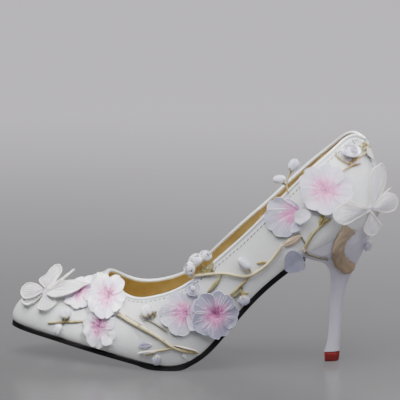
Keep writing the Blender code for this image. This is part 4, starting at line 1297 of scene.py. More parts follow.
def lining_finish(colours):
    """Tan lining leather, darker in patches, with a fine grain."""
    made, grain, tone, scuffs = worn_finish("tan_lining", 1500.0, 260.0, 0.6, Specular_IOR_Level=0.3)
    toned = made.mix(tone, colours.lining, colours.lining_shade)
    made.set(Base_Color=made.mix(scuffs, toned, LINING_SCUFF))
    made.set(Roughness=made.spread(tone, 0.0, 1.0, 0.42, 0.58))
    return made.emboss(grain, 0.06, 0.6)


def sole_finish(colours):
    """Black sole, greyer where it treads."""
    made, grain, tone, scuffs = worn_finish("black_sole", 800.0, 420.0, 0.9, Specular_IOR_Level=0.25)
    worn = made.times(made.attribute("tread"), made.sums("ADD", scuffs, 0.25))
    toned = made.mix(made.times(tone, 0.35), colours.sole, SOLE_GREY)
    gloss = made.spread(tone, 0.0, 1.0, 0.36, 0.5)
    made.set(Base_Color=made.mix(worn, toned, SOLE_WORN))
    made.set(Roughness=made.sums("MULTIPLY_ADD", worn, 0.5, gloss))
    return made.emboss(grain, 0.08, 0.7)


def lacquer_finish(colours):
    """White lacquered heel with faint brush streaks down its length, tinted lavender as painted light."""
    polish = {"Coat_Weight": 0.45, "Coat_Roughness": 0.12}
    made, _, tone, scuffs = worn_finish("white_heel", 900.0, 180.0, 0.3, **polish)
    streak = made.noise(made.stretched(made.place, (1.0, 1.0, 0.06)), 420.0)
    toned = made.mix(made.times(tone, 0.4), colours.heel, HEEL_PATCH)
    lined = made.mix(made.times(streak, 0.2), toned, HEEL_STREAK)
    made.set(Base_Color=made.mix(scuffs, lined, HEEL_SCUFF))
    made.set(Roughness=made.spread(streak, 0.3, 0.7, 0.24, 0.36))
    return made.emboss(streak, 0.03, 0.4)


def lift_finish(colours):
    """Dark red moulded tip, dull and worn at the floor."""
    made, grain, tone, scuffs = worn_finish("red_top_lift", 1700.0, 700.0, 0.7, Specular_IOR_Level=0.4)
    worn = made.times(made.attribute("tread"), made.sums("ADD", scuffs, 0.15))
    toned = made.mix(made.times(tone, 0.6), colours.top_lift, LIFT_DARK)
    made.set(Base_Color=made.mix(worn, toned, LIFT_WORN))
    made.set(Roughness=made.spread(tone, 0.0, 1.0, 0.38, 0.55))
    return made.emboss(grain, 0.05, 0.6)


def petal_finish(colours):
    """White stitched cloth whose threads run out from the middle, tinted pink towards it, and darker where it
    lies in shadow as painted shade.
    """
    made = Finish("petal_fabric", Sheen_Weight=0.25, Sheen_Roughness=0.4, Specular_IOR_Level=0.3)
    uv = made.uv()
    blush = made.attribute("blush")
    ridges = made.group("Thread Ridges", Place=made.times(uv["X"], 34.0), Along=made.times(uv["Y"], 20.0))
    patch = made.spread(made.noise(made.place, 160.0), 0.35, 0.7, 0.0, 0.75)
    cool = made.mix(patch, colours.petal, colours.petal_shade)
    # Petals that lie in shadow are mixed towards a darker lavender: painted shade.
    shaded = made.mix(made.attribute("grey"), cool, colours.petal_grey)
    ragged = made.sums("MULTIPLY_ADD", ridges["Tone"], 0.26, uv["Y"])
    near = made.times(made.spread(ragged, 0.45, 1.0, 1.0, 0.0), blush)
    tinted = made.mix(made.times(near, 0.85), shaded, colours.pink)
    middle = made.times(made.spread(ragged, 0.1, 0.3, 0.4, 0.0), blush)
    deep = made.mix(middle, tinted, colours.deep_pink)
    return made.ridged(deep, ridges, 0.88, (0.45, 0.65), 0.08, 0.8)


def thread_finish(name, light, dark):
    """Silky thread wound on the slant, with a tone of its own for each strand."""
    made = Finish(name, Sheen_Weight=0.3, Sheen_Roughness=0.35, Specular_IOR_Level=0.4)
    uv = made.uv()
    slant = made.sums("MULTIPLY_ADD", uv["Y"], RIDGES_PER_MM, made.times(uv["X"], 2.0))
    ridges = made.group("Thread Ridges", Place=slant, Along=uv["Y"])
    patch = made.spread(made.noise(made.place, 240.0), 0.35, 0.65, 0.0, 0.6)
    toned = made.mix(made.times(ridges["Tone"], 0.45), light, dark)
    return made.ridged(made.mix(patch, toned, dark), ridges, 0.62, (0.36, 0.55), 0.12, 0.9)


def trunk_finish(colours):
    """Brown silk along the trunk, paler and pinker towards its foot, partly its own colour and partly a
    painted highlight.
    """
    made = Finish("tan_thread", Sheen_Weight=0.25, Sheen_Roughness=0.4, Specular_IOR_Level=0.3)
    uv = made.uv()
    sway = made.times(made.noise(made.place, 180.0), 5.0)
    strand = made.sums("MULTIPLY_ADD", uv["X"], 12.0, sway)
    ridges = made.group("Thread Ridges", Place=strand, Along=uv["Y"])
    # The paler foot is partly the thread's own colour and partly a painted highlight.
    foot = made.spread(made.split(made.place)["Z"], 0.062, 0.086, 0.85, 0.0)
    worn = made.sums("MULTIPLY_ADD", ridges["Tone"], 0.35, made.times(foot, 0.75))
    toned = made.mix(worn, colours.bark, colours.bark_light)
    return made.ridged(toned, ridges, 0.5, (0.45, 0.62), 0.2, 0.9)


def gauze_finish(name, light, dark, thin, thick):
    """Sheer white cloth that lets what is behind show through between its threads."""
    made = Finish(name, Sheen_Weight=0.4, Sheen_Roughness=0.4, Specular_IOR_Level=0.35)
    weave = made.group("Weave", Vector=made.place, Threads=3600.0)
    patch = made.spread(made.noise(made.place, 120.0), 0.3, 0.7)
    cover = made.sums("MULTIPLY_ADD", weave["Cover"], 0.35, made.times(patch, 0.3))
    sheer = made.sums("ADD", made.spread(cover, 0.0, 0.6, thin, thick), made.attribute("cover"))
    made.set(Base_Color=made.mix(patch, light, dark))
    made.set(Alpha=made.sums("MINIMUM", sheer, 1.0))
    made.set(Roughness=made.spread(weave["Height"], 0.0, 1.0, 0.38, 0.55))
    return made.emboss(weave["Height"], 0.04, 0.5)


def floor_finish(colours):
    """A milky studio floor that glows a little, more so far behind the shoe."""
    made = Finish("studio_floor", Base_Color=colours.floor, Specular_IOR_Level=0.4, Emission_Strength=1.0)
    wide = made.noise(made.place, 3.0)
    soft = made.sums("MULTIPLY_ADD", wide, 0.1, made.split(made.place)["Y"])
    share = made.spread(soft, -0.15, 1.5)
    made.set(Emission_Color=made.mix(share, colours.glow_near, colours.glow_far))
    made.set(Roughness=made.spread(wide, 0.3, 0.7, 0.2, 0.26))
    return made.material


FINISHES = {
    "leather": leather_finish,
    "lining": lining_finish,
    "sole": sole_finish,
    "lacquer": lacquer_finish,
    "lift": lift_finish,
    "petal": petal_finish,
    "trunk": trunk_finish,
    "floor": floor_finish,
}
# Threads: the material's name, then its light and its dark colour, in numbers or by a property's name.
THREAD_COLOURS = {
    "pink": ("pink_thread", "pink", "deep_pink"),
    "plum": ("plum_thread", "plum", (0.03, 0.006, 0.014)),
    "white": ("white_thread", "petal", "petal_shade"),
    # Seam thread: painted dark grey, which stands in for the shadows in its stitch holes as well as for the
    # grey thread.
    "seam": ("seam_thread", (0.15, 0.155, 0.18), (0.09, 0.092, 0.11)),
    "edge": ("edge_thread", "edge", (0.84, 0.81, 0.75)),
    "mauve": ("mauve_thread", "mauve", "petal_grey"),
    "gold": ("gold_thread", "gold", "gold_shade"),
    "cream": ("cream_thread", "cream", "gold"),
    "olive": ("olive_thread", "olive", (0.12, 0.105, 0.06)),
    "green": ("leaf_thread", "leaf", "gold_shade"),
    "brown": ("brown_thread", "bark_light", "bark"),
    "tan": ("lining_thread", "lining", "lining_shade"),
}
# Sheer cloths: as the threads, and how much the cloth covers where it is thin and where it is thick.
GAUZE_COLOURS = {
    "gauze": ("white_gauze", "gauze", (0.76, 0.75, 0.78), 0.42, 0.72),
    "bud_gauze": ("bud_gauze", "petal_shade", "mauve", 0.5, 0.9),
}
MADE = {}


def make_finish(name):
    colours = bpy.context.scene.shoe_colours
    if name in FINISHES:
        return FINISHES[name](colours)
    kind = thread_finish if name in THREAD_COLOURS else gauze_finish
    label, light, dark, *cover = (THREAD_COLOURS | GAUZE_COLOURS)[name]
    light, dark = (getattr(colours, tint) if isinstance(tint, str) else tint for tint in (light, dark))
    return kind(label, light, dark, *cover)


def finish(name):
    """The material of that name, made when it is first asked for."""
    if name not in MADE:
        MADE[name] = make_finish(name)
    return MADE[name]


def crease_depth(points):
    """How far the leather is pushed in or out by the flex creases."""
    depth = np.zeros(points.shape[:-1])
    for side, start, end, deep, half_width in CREASES:
        start, end = np.array(start), np.array(end)
        run = end - start
        share = np.clip(((points[..., [0, 2]] - start) @ run) / (run @ run), 0, 1)
        gap = np.linalg.norm(points[..., [0, 2]] - start - share[..., None] * run, axis=-1) / half_width
        fade = np.sin(np.pi * np.clip(share, 0.02, 0.98)) ** 0.5
        on_side = 1 / (1 + np.exp(-4.0 * side * points[..., 1] / 3.0))
        depth -= deep * fade * on_side * (1 - gap * gap) * np.exp(-gap * gap)
    return depth


class COURT_SHOE_OT_upper(bpy.types.Operator):
    """Lays the leather on the last with its lining, and sews the seam under the topline"""

    bl_idname = "court_shoe.upper"
    bl_label = "Upper and Lining"

    def execute(self, context):
        sizes = context.scene.shoe_sizes
        half = half_turns()
        turns = np.concatenate([half, 2 * np.pi - half[-2::-1]])[::-1]
        along = shares(WALL_ROWS)[:, None]
        lift = along * opening_lift(turns)
        points = wall(turns, lift)
        hold = np.clip(np.cos(lift) / CREASE_FADE_HIGH, 0, 1) * np.clip(along / CREASE_FADE_LOW, 0, 1)
        points = points + wall_normal(turns, lift) * (crease_depth(points) * hold)[..., None]
        made = grid_of("leather_upper", points)
        above_sole = points[..., 2] - feather_z(points[..., 0])
        note(made, "near_sole", np.clip(1 - above_sole / DUST_REACH, 0, 1).ravel())
        weld(made)
        paint(made, finish("leather"), finish("lining"))
        thicken(made, sizes.wall, -1.0, material_offset=1, use_even_offset=True)
        hand_over(made, "white_leather", "upper")
        self.sew_topline(sizes)
        return {"FINISHED"}

    def sew_topline(self, sizes):
        edge, _, past = opening_frame(opening_loop())
        inset = sizes.stitch_inset / MM * np.interp(edge[:, 0], SEAM_INSET_X, SEAM_INSET_SHARE)
        seam, facing = [], []
        for point in edge - past * inset[:, None]:
            place, away, _, _ = FORM.find_nearest(Vector(point))
            seam.append(place + away * SEAM_GAP)
            facing.append(away)
        stitches = row_of_stitches("topline_stitching", seam, facing, sizes, finish("seam"))
        hand_over(stitches, "white_leather")


class COURT_SHOE_OT_piping(bpy.types.Operator):
    """Rolls the white edge over the topline"""

    bl_idname = "court_shoe.piping"
    bl_label = "Topline Piping"

    def execute(self, context):
        sizes = context.scene.shoe_sizes
        edge, normal, past = (np.concatenate([a, a[:1]])[:, None] for a in opening_frame(opening_loop()))
        angle = -2 * np.pi * shares(PIPING_SIDES)
        out = sizes.piping / MM / 2 * self.squared(np.cos(angle)) - sizes.wall / MM / 2
        on = PIPING_RISE + PIPING_HALF * self.squared(np.sin(angle))
        made = grid_of("rolled_piping", edge + normal * out[:, None] + past * on[:, None])
        close_up(made)
        paint(made, finish("leather"))
        hand_over(made, "white_leather", "topline_binding")
        return {"FINISHED"}

    def squared(self, values):
        """Makes a round section a little fuller at its corners."""
        return np.sign(values) * np.abs(values) ** PIPING_POWER


class COURT_SHOE_OT_back_strip(bpy.types.Operator):
    """Covers the back seam with a stitched strip"""

    bl_idname = "court_shoe.back_strip"
    bl_label = "Back Strip"

    def execute(self, context):
        sizes = context.scene.shoe_sizes
        side = 1 - 2 * shares(STRIP_COLUMNS)
        clear = STRIP_CLEAR + STRIP_DOME * (1 - side**4)
        made = grid_of("leather_back_strip", self.on_seam(side, shares(STRIP_ROWS)[:, None], clear)[0])
        paint(made, finish("leather"))
        thicken(made, STRIP_THICK * MM)
        edges = {"limit_method": "ANGLE", "angle_limit": math.radians(60)}
        use(made, "BEVEL", width=STRIP_BEVEL * MM, segments=2, **edges)
        hand_over(made, "white_leather", "back_strip")
        rows = []
        along = np.linspace(*STRIP_SEAM_ENDS, STRIP_SEAM_STATIONS)
        for side in (-STRIP_SEAM_SIDE, STRIP_SEAM_SIDE):
            points, normals = self.on_seam(side, along, STRIP_SEAM_CLEAR)
            rows.append(row_of_stitches("strip_seam", points, normals, sizes, finish("seam"), closed=False))
        hand_over(join("back_strip_stitching", rows), "white_leather")
        return {"FINISHED"}

    def on_seam(self, side, share, clear):
        """Places beside the back seam, from its foot at share 0 to its top at 1, and their normals."""
        turn = (STRIP_LOW_TURN + share * (STRIP_HIGH_TURN - STRIP_LOW_TURN)) * side
        top = opening_lift(turn) - STRIP_END
        lift = STRIP_END + share * (top - STRIP_END)
        normal = wall_normal(turn, lift)
        return wall(turn, lift) + normal * np.asarray(clear)[..., None], normal


def rolled_tread(height):
    """Heights under the ball, brought down to the floor and rolled off round it."""
    near = np.maximum(1 - height / TREAD_EASE, 1e-6)
    eased = (height - TREAD_LEVEL) * TREAD_EASE / (TREAD_EASE - TREAD_LEVEL)
    rolled = (eased + np.hypot(eased, TREAD_ROLL * near)) / 2
    return rolled - (rolled / near).min() * near


def sole_plate(name, turns, margin, top, thickness, corner, tread=False):
    """A closed plate that follows the sole, its edge rounded."""
    curve = np.linspace(0, np.pi / 2, SOLE_CORNER_POINTS)
    edge_in, edge_down = corner * (1 - np.sin(curve)), corner * (1 - np.cos(curve))
    edge_in = np.concatenate([edge_in, edge_in[::-1]])
    edge_down = np.concatenate([edge_down, thickness - edge_down[::-1]])
    middle = np.linspace(0, 1, SOLE_MIDDLE_POINTS)[1:-1]
    slope = corner * (1 - 2 * middle)
    share = np.concatenate([0 * edge_in, middle, 0 * edge_in + 1, middle[::-1], [0.0]])
    depth = np.concatenate([edge_down, 0 * middle + thickness, edge_down[::-1], 0 * middle, [0.0]])
    inset = np.concatenate([edge_in, slope, -edge_in[::-1], slope[::-1], [corner]])
    outer, inner = plan_offset(turns, margin), plan_offset(2 * np.pi - turns, margin)
    across = inner - outer
    narrow = np.minimum(np.linalg.norm(across, axis=1) / (4 * corner), 1.0)
    points = outer[:, None] + across[:, None] * share[:, None]
    points = points + unit(across)[:, None] * (inset * narrow[:, None])[..., None]
    points = points + sole_down(turns)[:, None] * (depth - top)[:, None]
    if tread:
        height = points[..., 2]
        low = (height < TREAD_EASE) & (depth > thickness / 2)
        points[..., 2] = np.where(low, np.maximum(rolled_tread(height), thickness - depth), height)
    return close_up(grid_of(name, points))


class COURT_SHOE_OT_outsole(bpy.types.Operator):
    """Makes the thin black sole from the breast of the heel to the toe"""

    bl_idname = "court_shoe.outsole"
    bl_label = "Outsole"

    def execute(self, context):
        start = BREAST_TURN + SOLE_END_GAP
        turns = start + (np.pi - start) * np.sin(np.linspace(0, np.pi / 2, OUTSOLE_STATIONS))
        made = sole_plate(
            "black_outsole", turns, OUTSOLE_MARGIN, -OUTSOLE_DROP, OUTSOLE_THICK, OUTSOLE_CORNER, tread=True
        )
        note_tread(made, SOLE_WEAR)
        paint(made, finish("sole"))
        hand_over(made, "black_sole", "outsole")
        return {"FINISHED"}


class COURT_SHOE_OT_insole(bpy.types.Operator):
    """Lays the tan insole in the shoe and sews its edge"""

    bl_idname = "court_shoe.insole"
    bl_label = "Insole"

    def execute(self, context):
        sizes = context.scene.shoe_sizes
        turns = np.linspace(INSOLE_END, np.pi - INSOLE_END, INSOLE_STATIONS)
        made = sole_plate("tan_insole", turns, INSOLE_MARGIN, INSOLE_TOP, INSOLE_THICK, INSOLE_CORNER)
        paint(made, finish("lining"))
        hand_over(made, "tan_lining", "insole")
        sewn = turns[INSOLE_SEWN]
        around = np.concatenate([sewn, 2 * np.pi - sewn[::-1]])
        up = -sole_down(around)
        line = plan_offset(around, INSOLE_MARGIN - INSOLE_SEAM) + up * (INSOLE_TOP + SEAM_GAP)
        stitches = row_of_stitches("insole_stitching", line, up, sizes, finish("tan"), closed=False)
        hand_over(stitches, "tan_lining")
        return {"FINISHED"}


class COURT_SHOE_OT_heel(bpy.types.Operator):
    """Shapes the slim heel and its top lift"""

    bl_idname = "court_shoe.heel"
    bl_label = "Heel and Top Lift"

    def execute(self, context):
        seat, below = np.linspace(0, 1, HEEL_SEAT_ROWS)[:-1], np.linspace(1, len(HEEL), HEEL_ROWS)
        rings = heel_rings(np.concatenate([seat, below]))
        rings = np.concatenate([rings, rings[:, :1]], axis=1)
        heel = close_up(grid_of("lacquered_heel", rings))
        paint(heel, finish("lacquer"))
        hand_over(heel, "white_heel", "heel")
        base = rings[-1]
        away = unit((base - base[:-1].mean(axis=0)) * (1, 1, 0))
        steps = []
        for height, inset in LIFT_PROFILE:
            ring = base - away * inset
            ring[:, 2] = height
            steps.append(ring)
        lift = close_up(grid_of("red_lift", steps))
        paint(lift, finish("lift"))
        note_tread(lift, LIFT_WEAR)
        hand_over(lift, "red_top_lift", "top_lift")
        return {"FINISHED"}


class COURT_SHOE_OT_trunk(bpy.types.Operator):
    """Stitches the trunk that wraps the top of the heel"""

    bl_idname = "court_shoe.trunk"
    bl_label = "Heel Trunk"

    def execute(self, context):
        route = np.array(TRUNK)
        far = distances(route[:, :2])
        at = far[-1] * shares(TRUNK_ROWS)
        points = self.bark(np.stack([spline(far, column)(at) for column in route.T], axis=-1))
        made = grid_of("stitched_trunk", points)
        stretch_uv(made, 1.5, far[-1])
        paint(made, finish("trunk"))
        thicken(made, TRUNK_CLOTH * MM, -1.0)
        hand_over(made, "tan_thread", "heel_trunk")
        self.sew_strands(points)
        return {"FINISHED"}

    def bark(self, stops):
        """Rows of points across the trunk, domed and knotted, at stops given by x, z and width."""
        points = np.zeros((TRUNK_ROWS + 1, TRUNK_COLUMNS + 1, 3))
        for i, (x, z, width) in enumerate(stops):
            middle, normal = touch(x, z)
            before, after = stops[max(i - 2, 0)], stops[min(i + 2, TRUNK_ROWS)]
            along = touch(*after[:2])[0] - touch(*before[:2])[0]
            beside = normal.cross(along).normalized() * width
            ragged = 1 + 0.07 * math.sin(i * 0.9) + 0.05 * math.sin(i * 2.3)
            for j, share in enumerate(shares(TRUNK_COLUMNS) - 0.5):
                knot = 0.25 * math.sin(i * 0.55 + 9 * share) + 0.2 * math.sin(30 * share + 0.3 * i)
                height = TRUNK_RISE + (TRUNK_DOME + knot) * (1 - abs(2 * share) ** 3)
                points[i, j] = drape(middle, normal, beside * (share * ragged), height)
        return points

    def sew_strands(self, points):
        """Sews loose strands of several tones along the trunk."""
        draw = np.random.default_rng(SEED)
        tones = {tone: [] for tone in TRUNK_THREADS}
        for n in range(TRUNK_STRANDS):
            first = int(draw.integers(0, TRUNK_ROWS * 2 // 3))
            rows = np.arange(first, min(first + int(draw.integers(8, 26)), TRUNK_ROWS + 1))
            sway = draw.uniform(0.0, 1.0) * TRUNK_COLUMNS + draw.uniform(0.3, 1.2) * np.sin(rows * 0.35 + n)
            line = [self.between(points[i], j) for i, j in zip(rows, np.clip(sway, 0, TRUNK_COLUMNS))]
            radii = STRAND_RADIUS * np.linspace(1.2, 0.5, len(rows))
            tones[TRUNK_THREADS[n % len(TRUNK_THREADS)]].append((line, radii))
        strands = [threads("strands", runs, finish(tone), 0) for tone, runs in tones.items()]
        hand_over(join("trunk_strands", strands), "tan_thread")

    def between(self, row, column):
        """A place on one row of the trunk, between two of its columns."""
        low = min(int(column), TRUNK_COLUMNS - 1)
        return row[low] + (row[low + 1] - row[low]) * (column - low)


class Blossom:
    """A blossom's place on the leather, and where each point of its petals lies."""

    width = 0.5
    shoulder = 0.6
    notch_width = 0.16
    core_gap = 0.03
    clear = 0.5
    slope = 0.42
    rim = 0.5
    wave = 0.32
    knots = 4
    stamens = 11

    def __init__(self, row, number):
        self.name, x, z, self.radius, turn_deg, self.stand, self.cup, core, self.grey, self.blush = row
        self.middle, self.normal = touch(x, z)
        self.first, self.second = axes_on(self.normal, turn_deg)
        right, upward = axes_on(self.normal, 0.0)
        self.core = right * core[0] + upward * core[1]
        self.raised = [0.0] * PETALS
        for name, petal, rise in RAISED_PETALS:
            if name == self.name:
                self.raised[petal] = rise
        self.draw = np.random.default_rng(SEED + number)
        self.phase = self.draw.uniform(0, 2 * np.pi, PETALS)
        self.notch = self.draw.uniform(0.05, 0.12, PETALS)
        self.reach = self.draw.uniform(0.93, 1.04, PETALS)
        for name, petal, share in CUT_PETALS:
            if name == self.name:
                self.reach[petal] *= share

    def spoke(self, angle):
        return self.first * math.cos(angle) + self.second * math.sin(angle)

    def point(self, petal, across, along, lift=0.0):
        """A petal's point, from -1 to 1 across and 0 to 1 along, lifted off the cloth."""
        spoke = self.spoke(2 * math.pi * (petal + 0.5) / PETALS)
        beside = spoke.cross(self.normal)
        bow = math.sin(math.pi / 2 * across)
        tip = self.shoulder + (1 - self.shoulder) * math.sqrt(max(1 - bow * bow, 0.0))
        tip -= self.notch[petal] * math.exp(-((bow / self.notch_width) ** 2))
        tip *= self.reach[petal] * (1 + 0.018 * math.sin(9 * bow + self.phase[petal]))
        out = along * tip
        side = bow * self.width * along**0.7
        place = self.core * (1 - along) + spoke * (out * self.radius) + beside * (side * self.radius)
        far = math.hypot(out, side)
        ease = min(far / 0.35, 1.0)
        height = self.clear + self.stand * ease * ease * (3 - 2 * ease) + self.cup * far * far
        height += self.slope * bow * along + self.rim * bow * bow * along * along
        height += self.wave * along * along * math.sin(4.5 * bow + self.phase[petal])
        height += self.raised[petal] * (1 - bow * bow) * far * far
        return drape(self.middle, self.normal, place, height + lift)

    def petals(self, sizes):
        """The five petals as one piece of cloth."""
        across = 2 * shares(PETAL_COLUMNS) - 1
        along = self.core_gap + (1 - self.core_gap) * shares(PETAL_ROWS)
        parts = []
        for petal in range(PETALS):
            made = grid_of("petal", [[self.point(petal, s, t) for s in across] for t in along])
            note(made, "blush", self.blush[petal])
            note(made, "grey", self.grey)
            parts.append(made)
        cloth = join("petals_" + self.name, parts)
        area = sum(face.area for face in cloth.data.polygons)
        paint(cloth, finish("petal"))
        thicken(cloth, sizes.petal_cloth)
        return cloth, area

    def edges(self, sizes):
        """The thread sewn round each petal."""
        lift = sizes.petal_cloth / MM / 2
        rim = round_rim(np.linspace(0.3, 1, 12), 22)
        return [
            ([self.point(petal, s, t, lift) for s, t in rim], sizes.edge_thread / MM)
            for petal in range(PETALS)
        ]

    def strokes(self, count, start, end, spread_across, radius, lift):
        """Straight stitches that run out from the middle, with ends that differ."""
        runs = []
        for petal in range(PETALS):
            for _ in range(round(count * self.blush[petal])):
                s = self.draw.uniform(-spread_across, spread_across)
                first = start * self.draw.uniform(0.7, 1.3)
                last = end * self.draw.uniform(0.62, 1.1)
                points = [self.point(petal, s, t, lift) for t in np.linspace(first, last, 5)]
                runs.append((points, radius * np.array([0.7, 1.0, 1.0, 0.9, 0.4])))
        return runs

    def middle_threads(self):
        """Dark knots in the middle, and fine stamens with pale heads round them."""
        knots, stems, heads = [], [], []
        base = drape(self.middle, self.normal, self.core, 0.9)
        for _ in range(self.knots):
            away = self.spoke(self.draw.uniform(0, 2 * math.pi)) * self.draw.uniform(0.1, 0.9)
            run = [base + away + self.normal * height for height in (-0.3, 0.0, 0.35, 0.6)]
            knots.append((run, np.array([0.2, 0.34, 0.3, 0.1])))
        for i in range(self.stamens):
            away = self.spoke(2 * math.pi * (i + self.draw.uniform(-0.3, 0.3)) / self.stamens)
            reach = self.radius * self.draw.uniform(0.16, 0.3)
            rise = self.stand * 0.7 + self.draw.uniform(0.7, 1.4)
            run = [base + away * reach * t + self.normal * rise * math.sqrt(t) for t in (0, 0.35, 0.7, 1.0)]
            stems.append((run, 0.11))
            tip = run[-1]
            heads.append(([tip - away * 0.25, tip, tip + away * 0.22], np.array([0.1, 0.3, 0.12])))
        return knots, stems, heads


def round_rim(sides, cells):
    """The rim of a petal or a wing: up its left side, over its end and down its right side."""
    over = np.linspace(-1, 1, cells + 1)[1:-1]
    return [(-1, t) for t in sides] + [(s, 1) for s in over] + [(1, t) for t in sides[::-1]]


class COURT_SHOE_OT_blossoms(bpy.types.Operator):
    """Cuts and sews the seven blossoms"""

    bl_idname = "court_shoe.blossoms"
    bl_label = "Blossoms"

    def execute(self, context):
        sizes = context.scene.shoe_sizes
        for number, row in enumerate(BLOSSOMS):
            blossom = Blossom(row, number)
            cloth, area = blossom.petals(sizes)
            hand_over(cloth, "petal_fabric", "blossom_" + blossom.name)
            sewn = hand_over(join(cloth.name + "_threads", self.sew(blossom, sizes)), "petal_fabric")
        return {"FINISHED"}

    def sew(self, blossom, sizes):
        """The threads of a blossom, as meshes to be joined."""
        lift = sizes.petal_cloth / MM + STROKE_LIFT
        knots, stems, heads = blossom.middle_threads()
        parts = [threads("edges", blossom.edges(sizes), finish("white"))]
        for tone, share, *stroke in PETAL_STROKES:
            runs = blossom.strokes(sizes.petal_stitches * share, *stroke, lift)
            parts.append(threads(tone, runs, finish(tone), 0))
        parts.append(threads("knots", knots, finish("plum")))
        parts.append(threads("stems", stems, finish("pink"), 0))
        parts.append(threads("heads", heads, finish("white")))
        return parts


class Bud:
    """A bud's place and axes. Its petals are shells round it."""

    def __init__(self, row):
        self.name, x, z, long, wide, thick, turn_deg, self.rise, grow_deg, self.kind = row
        self.under, self.normal = touch(x, z)
        self.facing = self.kind in ROSETTES
        self.grey = BUD_PAINTED_SHADE.get(self.kind, 0.0)
        self.middle = self.under + self.normal * (0.1 + self.rise + thick / 2)
        along, beside = axes_on(self.normal, grow_deg)
        swung = math.radians(grow_deg - turn_deg)
        reach_along = math.hypot(long * math.cos(swung), wide * math.sin(swung)) / 2
        reach_beside = math.hypot(long * math.sin(swung), wide * math.cos(swung)) / 2
        if self.facing:
            lean = math.radians(BUD_LEAN[self.kind])
            towards = self.normal * math.cos(lean) + along * math.sin(lean)
            self.axes = (towards, along * math.cos(lean) - self.normal * math.sin(lean), beside)
            self.half = (thick / 2, reach_along, reach_beside)
        else:
            self.axes = (along, beside, self.normal)
            self.half = (reach_along, reach_beside, thick / 2)

    def cloth(self, name, cells, place, grey, thickness, side):
        """A piece of petal cloth whose points lie where a function of their two shares puts them."""
        columns_at, rows_at = shares(cells[0]), shares(cells[1])
        made = grid_of(name, [[place(a, b) for a in columns_at] for b in rows_at])
        note(made, "blush", 0.0)
        note(made, "grey", grey)
        return thicken(made, thickness * MM, side)

    def shell(self, spin, half_angle, low, high, scale, taper=0.0, flare=0.0, ring=0):
        """A petal that wraps round the bud, from the share low to the share high of its length."""
        axis, beside, up = self.axes
        half_long, half_beside, half_up = self.half

        def wrapped(a, b):
            angle = spin + (2 * a - 1) * half_angle * (1 - taper * b**1.6)
            place = low + (high - low) * b * (1 - 0.1 * (2 * a - 1) ** 2)
            out = math.sin(math.pi * place) ** 0.8 * scale * (1 + flare * b**3)
            far = RING_STEP * ring - math.cos(math.pi * place)
            around = beside * (math.cos(angle) * half_beside * out) + up * (math.sin(angle) * half_up * out)
            return self.middle + axis * (half_long * far) + around

        # Each ring inwards gets more painted shade, for the shadow deeper in the bud.
        return self.cloth("shell", (12, 10), wrapped, self.grey + RING_PAINTED_SHADE * ring, SHELL_CLOTH, -1.0)

    def closed_petals(self):
        """Four petals wrapped round each other, with a core inside."""
        parts = [self.shell(0.0, math.pi, 0.02, 0.93, 0.8)]
        for i, spin in enumerate((math.pi / 2, math.pi / 2 + 2.2, math.pi / 2 - 2.2, 0.4)):
            high, scale = 0.8 + 0.05 * (i % 3), 0.94 + 0.04 * (i % 2)
            parts.append(self.shell(spin, 1.25, 0.04, high, scale, 0.35, 0.06))
        return parts

    def open_petals(self):
        """A rosette: rings of petals that overlap and close towards the middle."""
        parts = []
        for ring, row in enumerate(ROSETTES[self.kind]):
            count, half_angle, low, high, scale, flare = row
            for i in range(count):
                spin = 2 * math.pi * i / count + 0.7 * ring
                parts.append(self.shell(spin, half_angle, low, high, scale, 0.15, flare, ring))
        return parts

    def sepals(self):
        if self.kind == "plain":
            return []
        return [self.shell(spin, 0.42, 0.01, 0.34, 1.07, 0.85) for spin in (1.57, 0.5, 2.64)]

    def flat_petal(self):
        """A single loose petal that lies on the leather and cups at its rim."""
        axis, beside, _ = self.axes
        half_long, half_beside, half_up = self.half

        def cupped(a, b):
            bow = math.sin(math.pi / 2 * (2 * a - 1))
            tip = 0.35 + 0.65 * math.sqrt(max(1 - bow * bow, 0.0))
            out = -1 + 2 * b * tip
            side = bow * math.sin(math.pi * (0.12 + 0.5 * b)) ** 0.8
            height = 0.35 + self.rise + half_up * (0.3 + 0.9 * (bow * bow + b * b) * 0.5)
            place = (axis * (out * half_long) - beside * (side * half_beside)) * LOOSE_PETAL
            laid = drape(self.under, self.normal, place, height)
            return laid.lerp(self.under + place + self.normal * height, PETAL_LEVEL)

        return [self.cloth("petal", (16, 16), cupped, self.grey, LOOSE_CLOTH, 1.0)]


class COURT_SHOE_OT_buds(bpy.types.Operator):
    """Sews the buds and loose petals"""

    bl_idname = "court_shoe.buds"
    bl_label = "Buds"

    def execute(self, context):
        for row in BUDS:
            bud = Bud(row)
            cloth = finish("bud_gauze" if bud.kind.startswith("sheer") else "petal")
            if bud.kind.endswith("petal"):
                shells, sepals = bud.flat_petal(), []
            elif bud.facing:
                shells, sepals = bud.open_petals(), []
            else:
                shells, sepals = bud.closed_petals(), bud.sepals()
            parts = [paint(shell, cloth) for shell in shells]
            parts += [paint(sepal, finish("green")) for sepal in sepals]
            hand_over(join("sewn_bud_" + bud.name, parts), "petal_fabric", "bud_" + bud.name)
        return {"FINISHED"}


def leaf(x, z, point_deg, long, wide, rise):
    """A pointed stitched leaf on the leather, with a rib along its middle."""
    middle, normal = touch(x, z)
    along, beside = axes_on(normal, point_deg)

    def pointed(bow, share):
        half = wide / 2 * math.sin(math.pi * min(0.04 + 0.94 * share, 1.0)) ** 0.8
        rib = math.exp(-((bow / 0.15) ** 2))
        height = rise + 0.5 * (1 - bow * bow) - 0.35 * rib + 0.6 * share * share
        return drape(middle, normal, along * (long * share) - beside * (bow * half), height)

    made = grid_of("leaf", [[pointed(2 * a - 1, b) for a in shares(10)] for b in shares(14)])
    stretch_uv(made, 1.0, long)
    return thicken(made, LEAF_CLOTH * MM, -1.0)


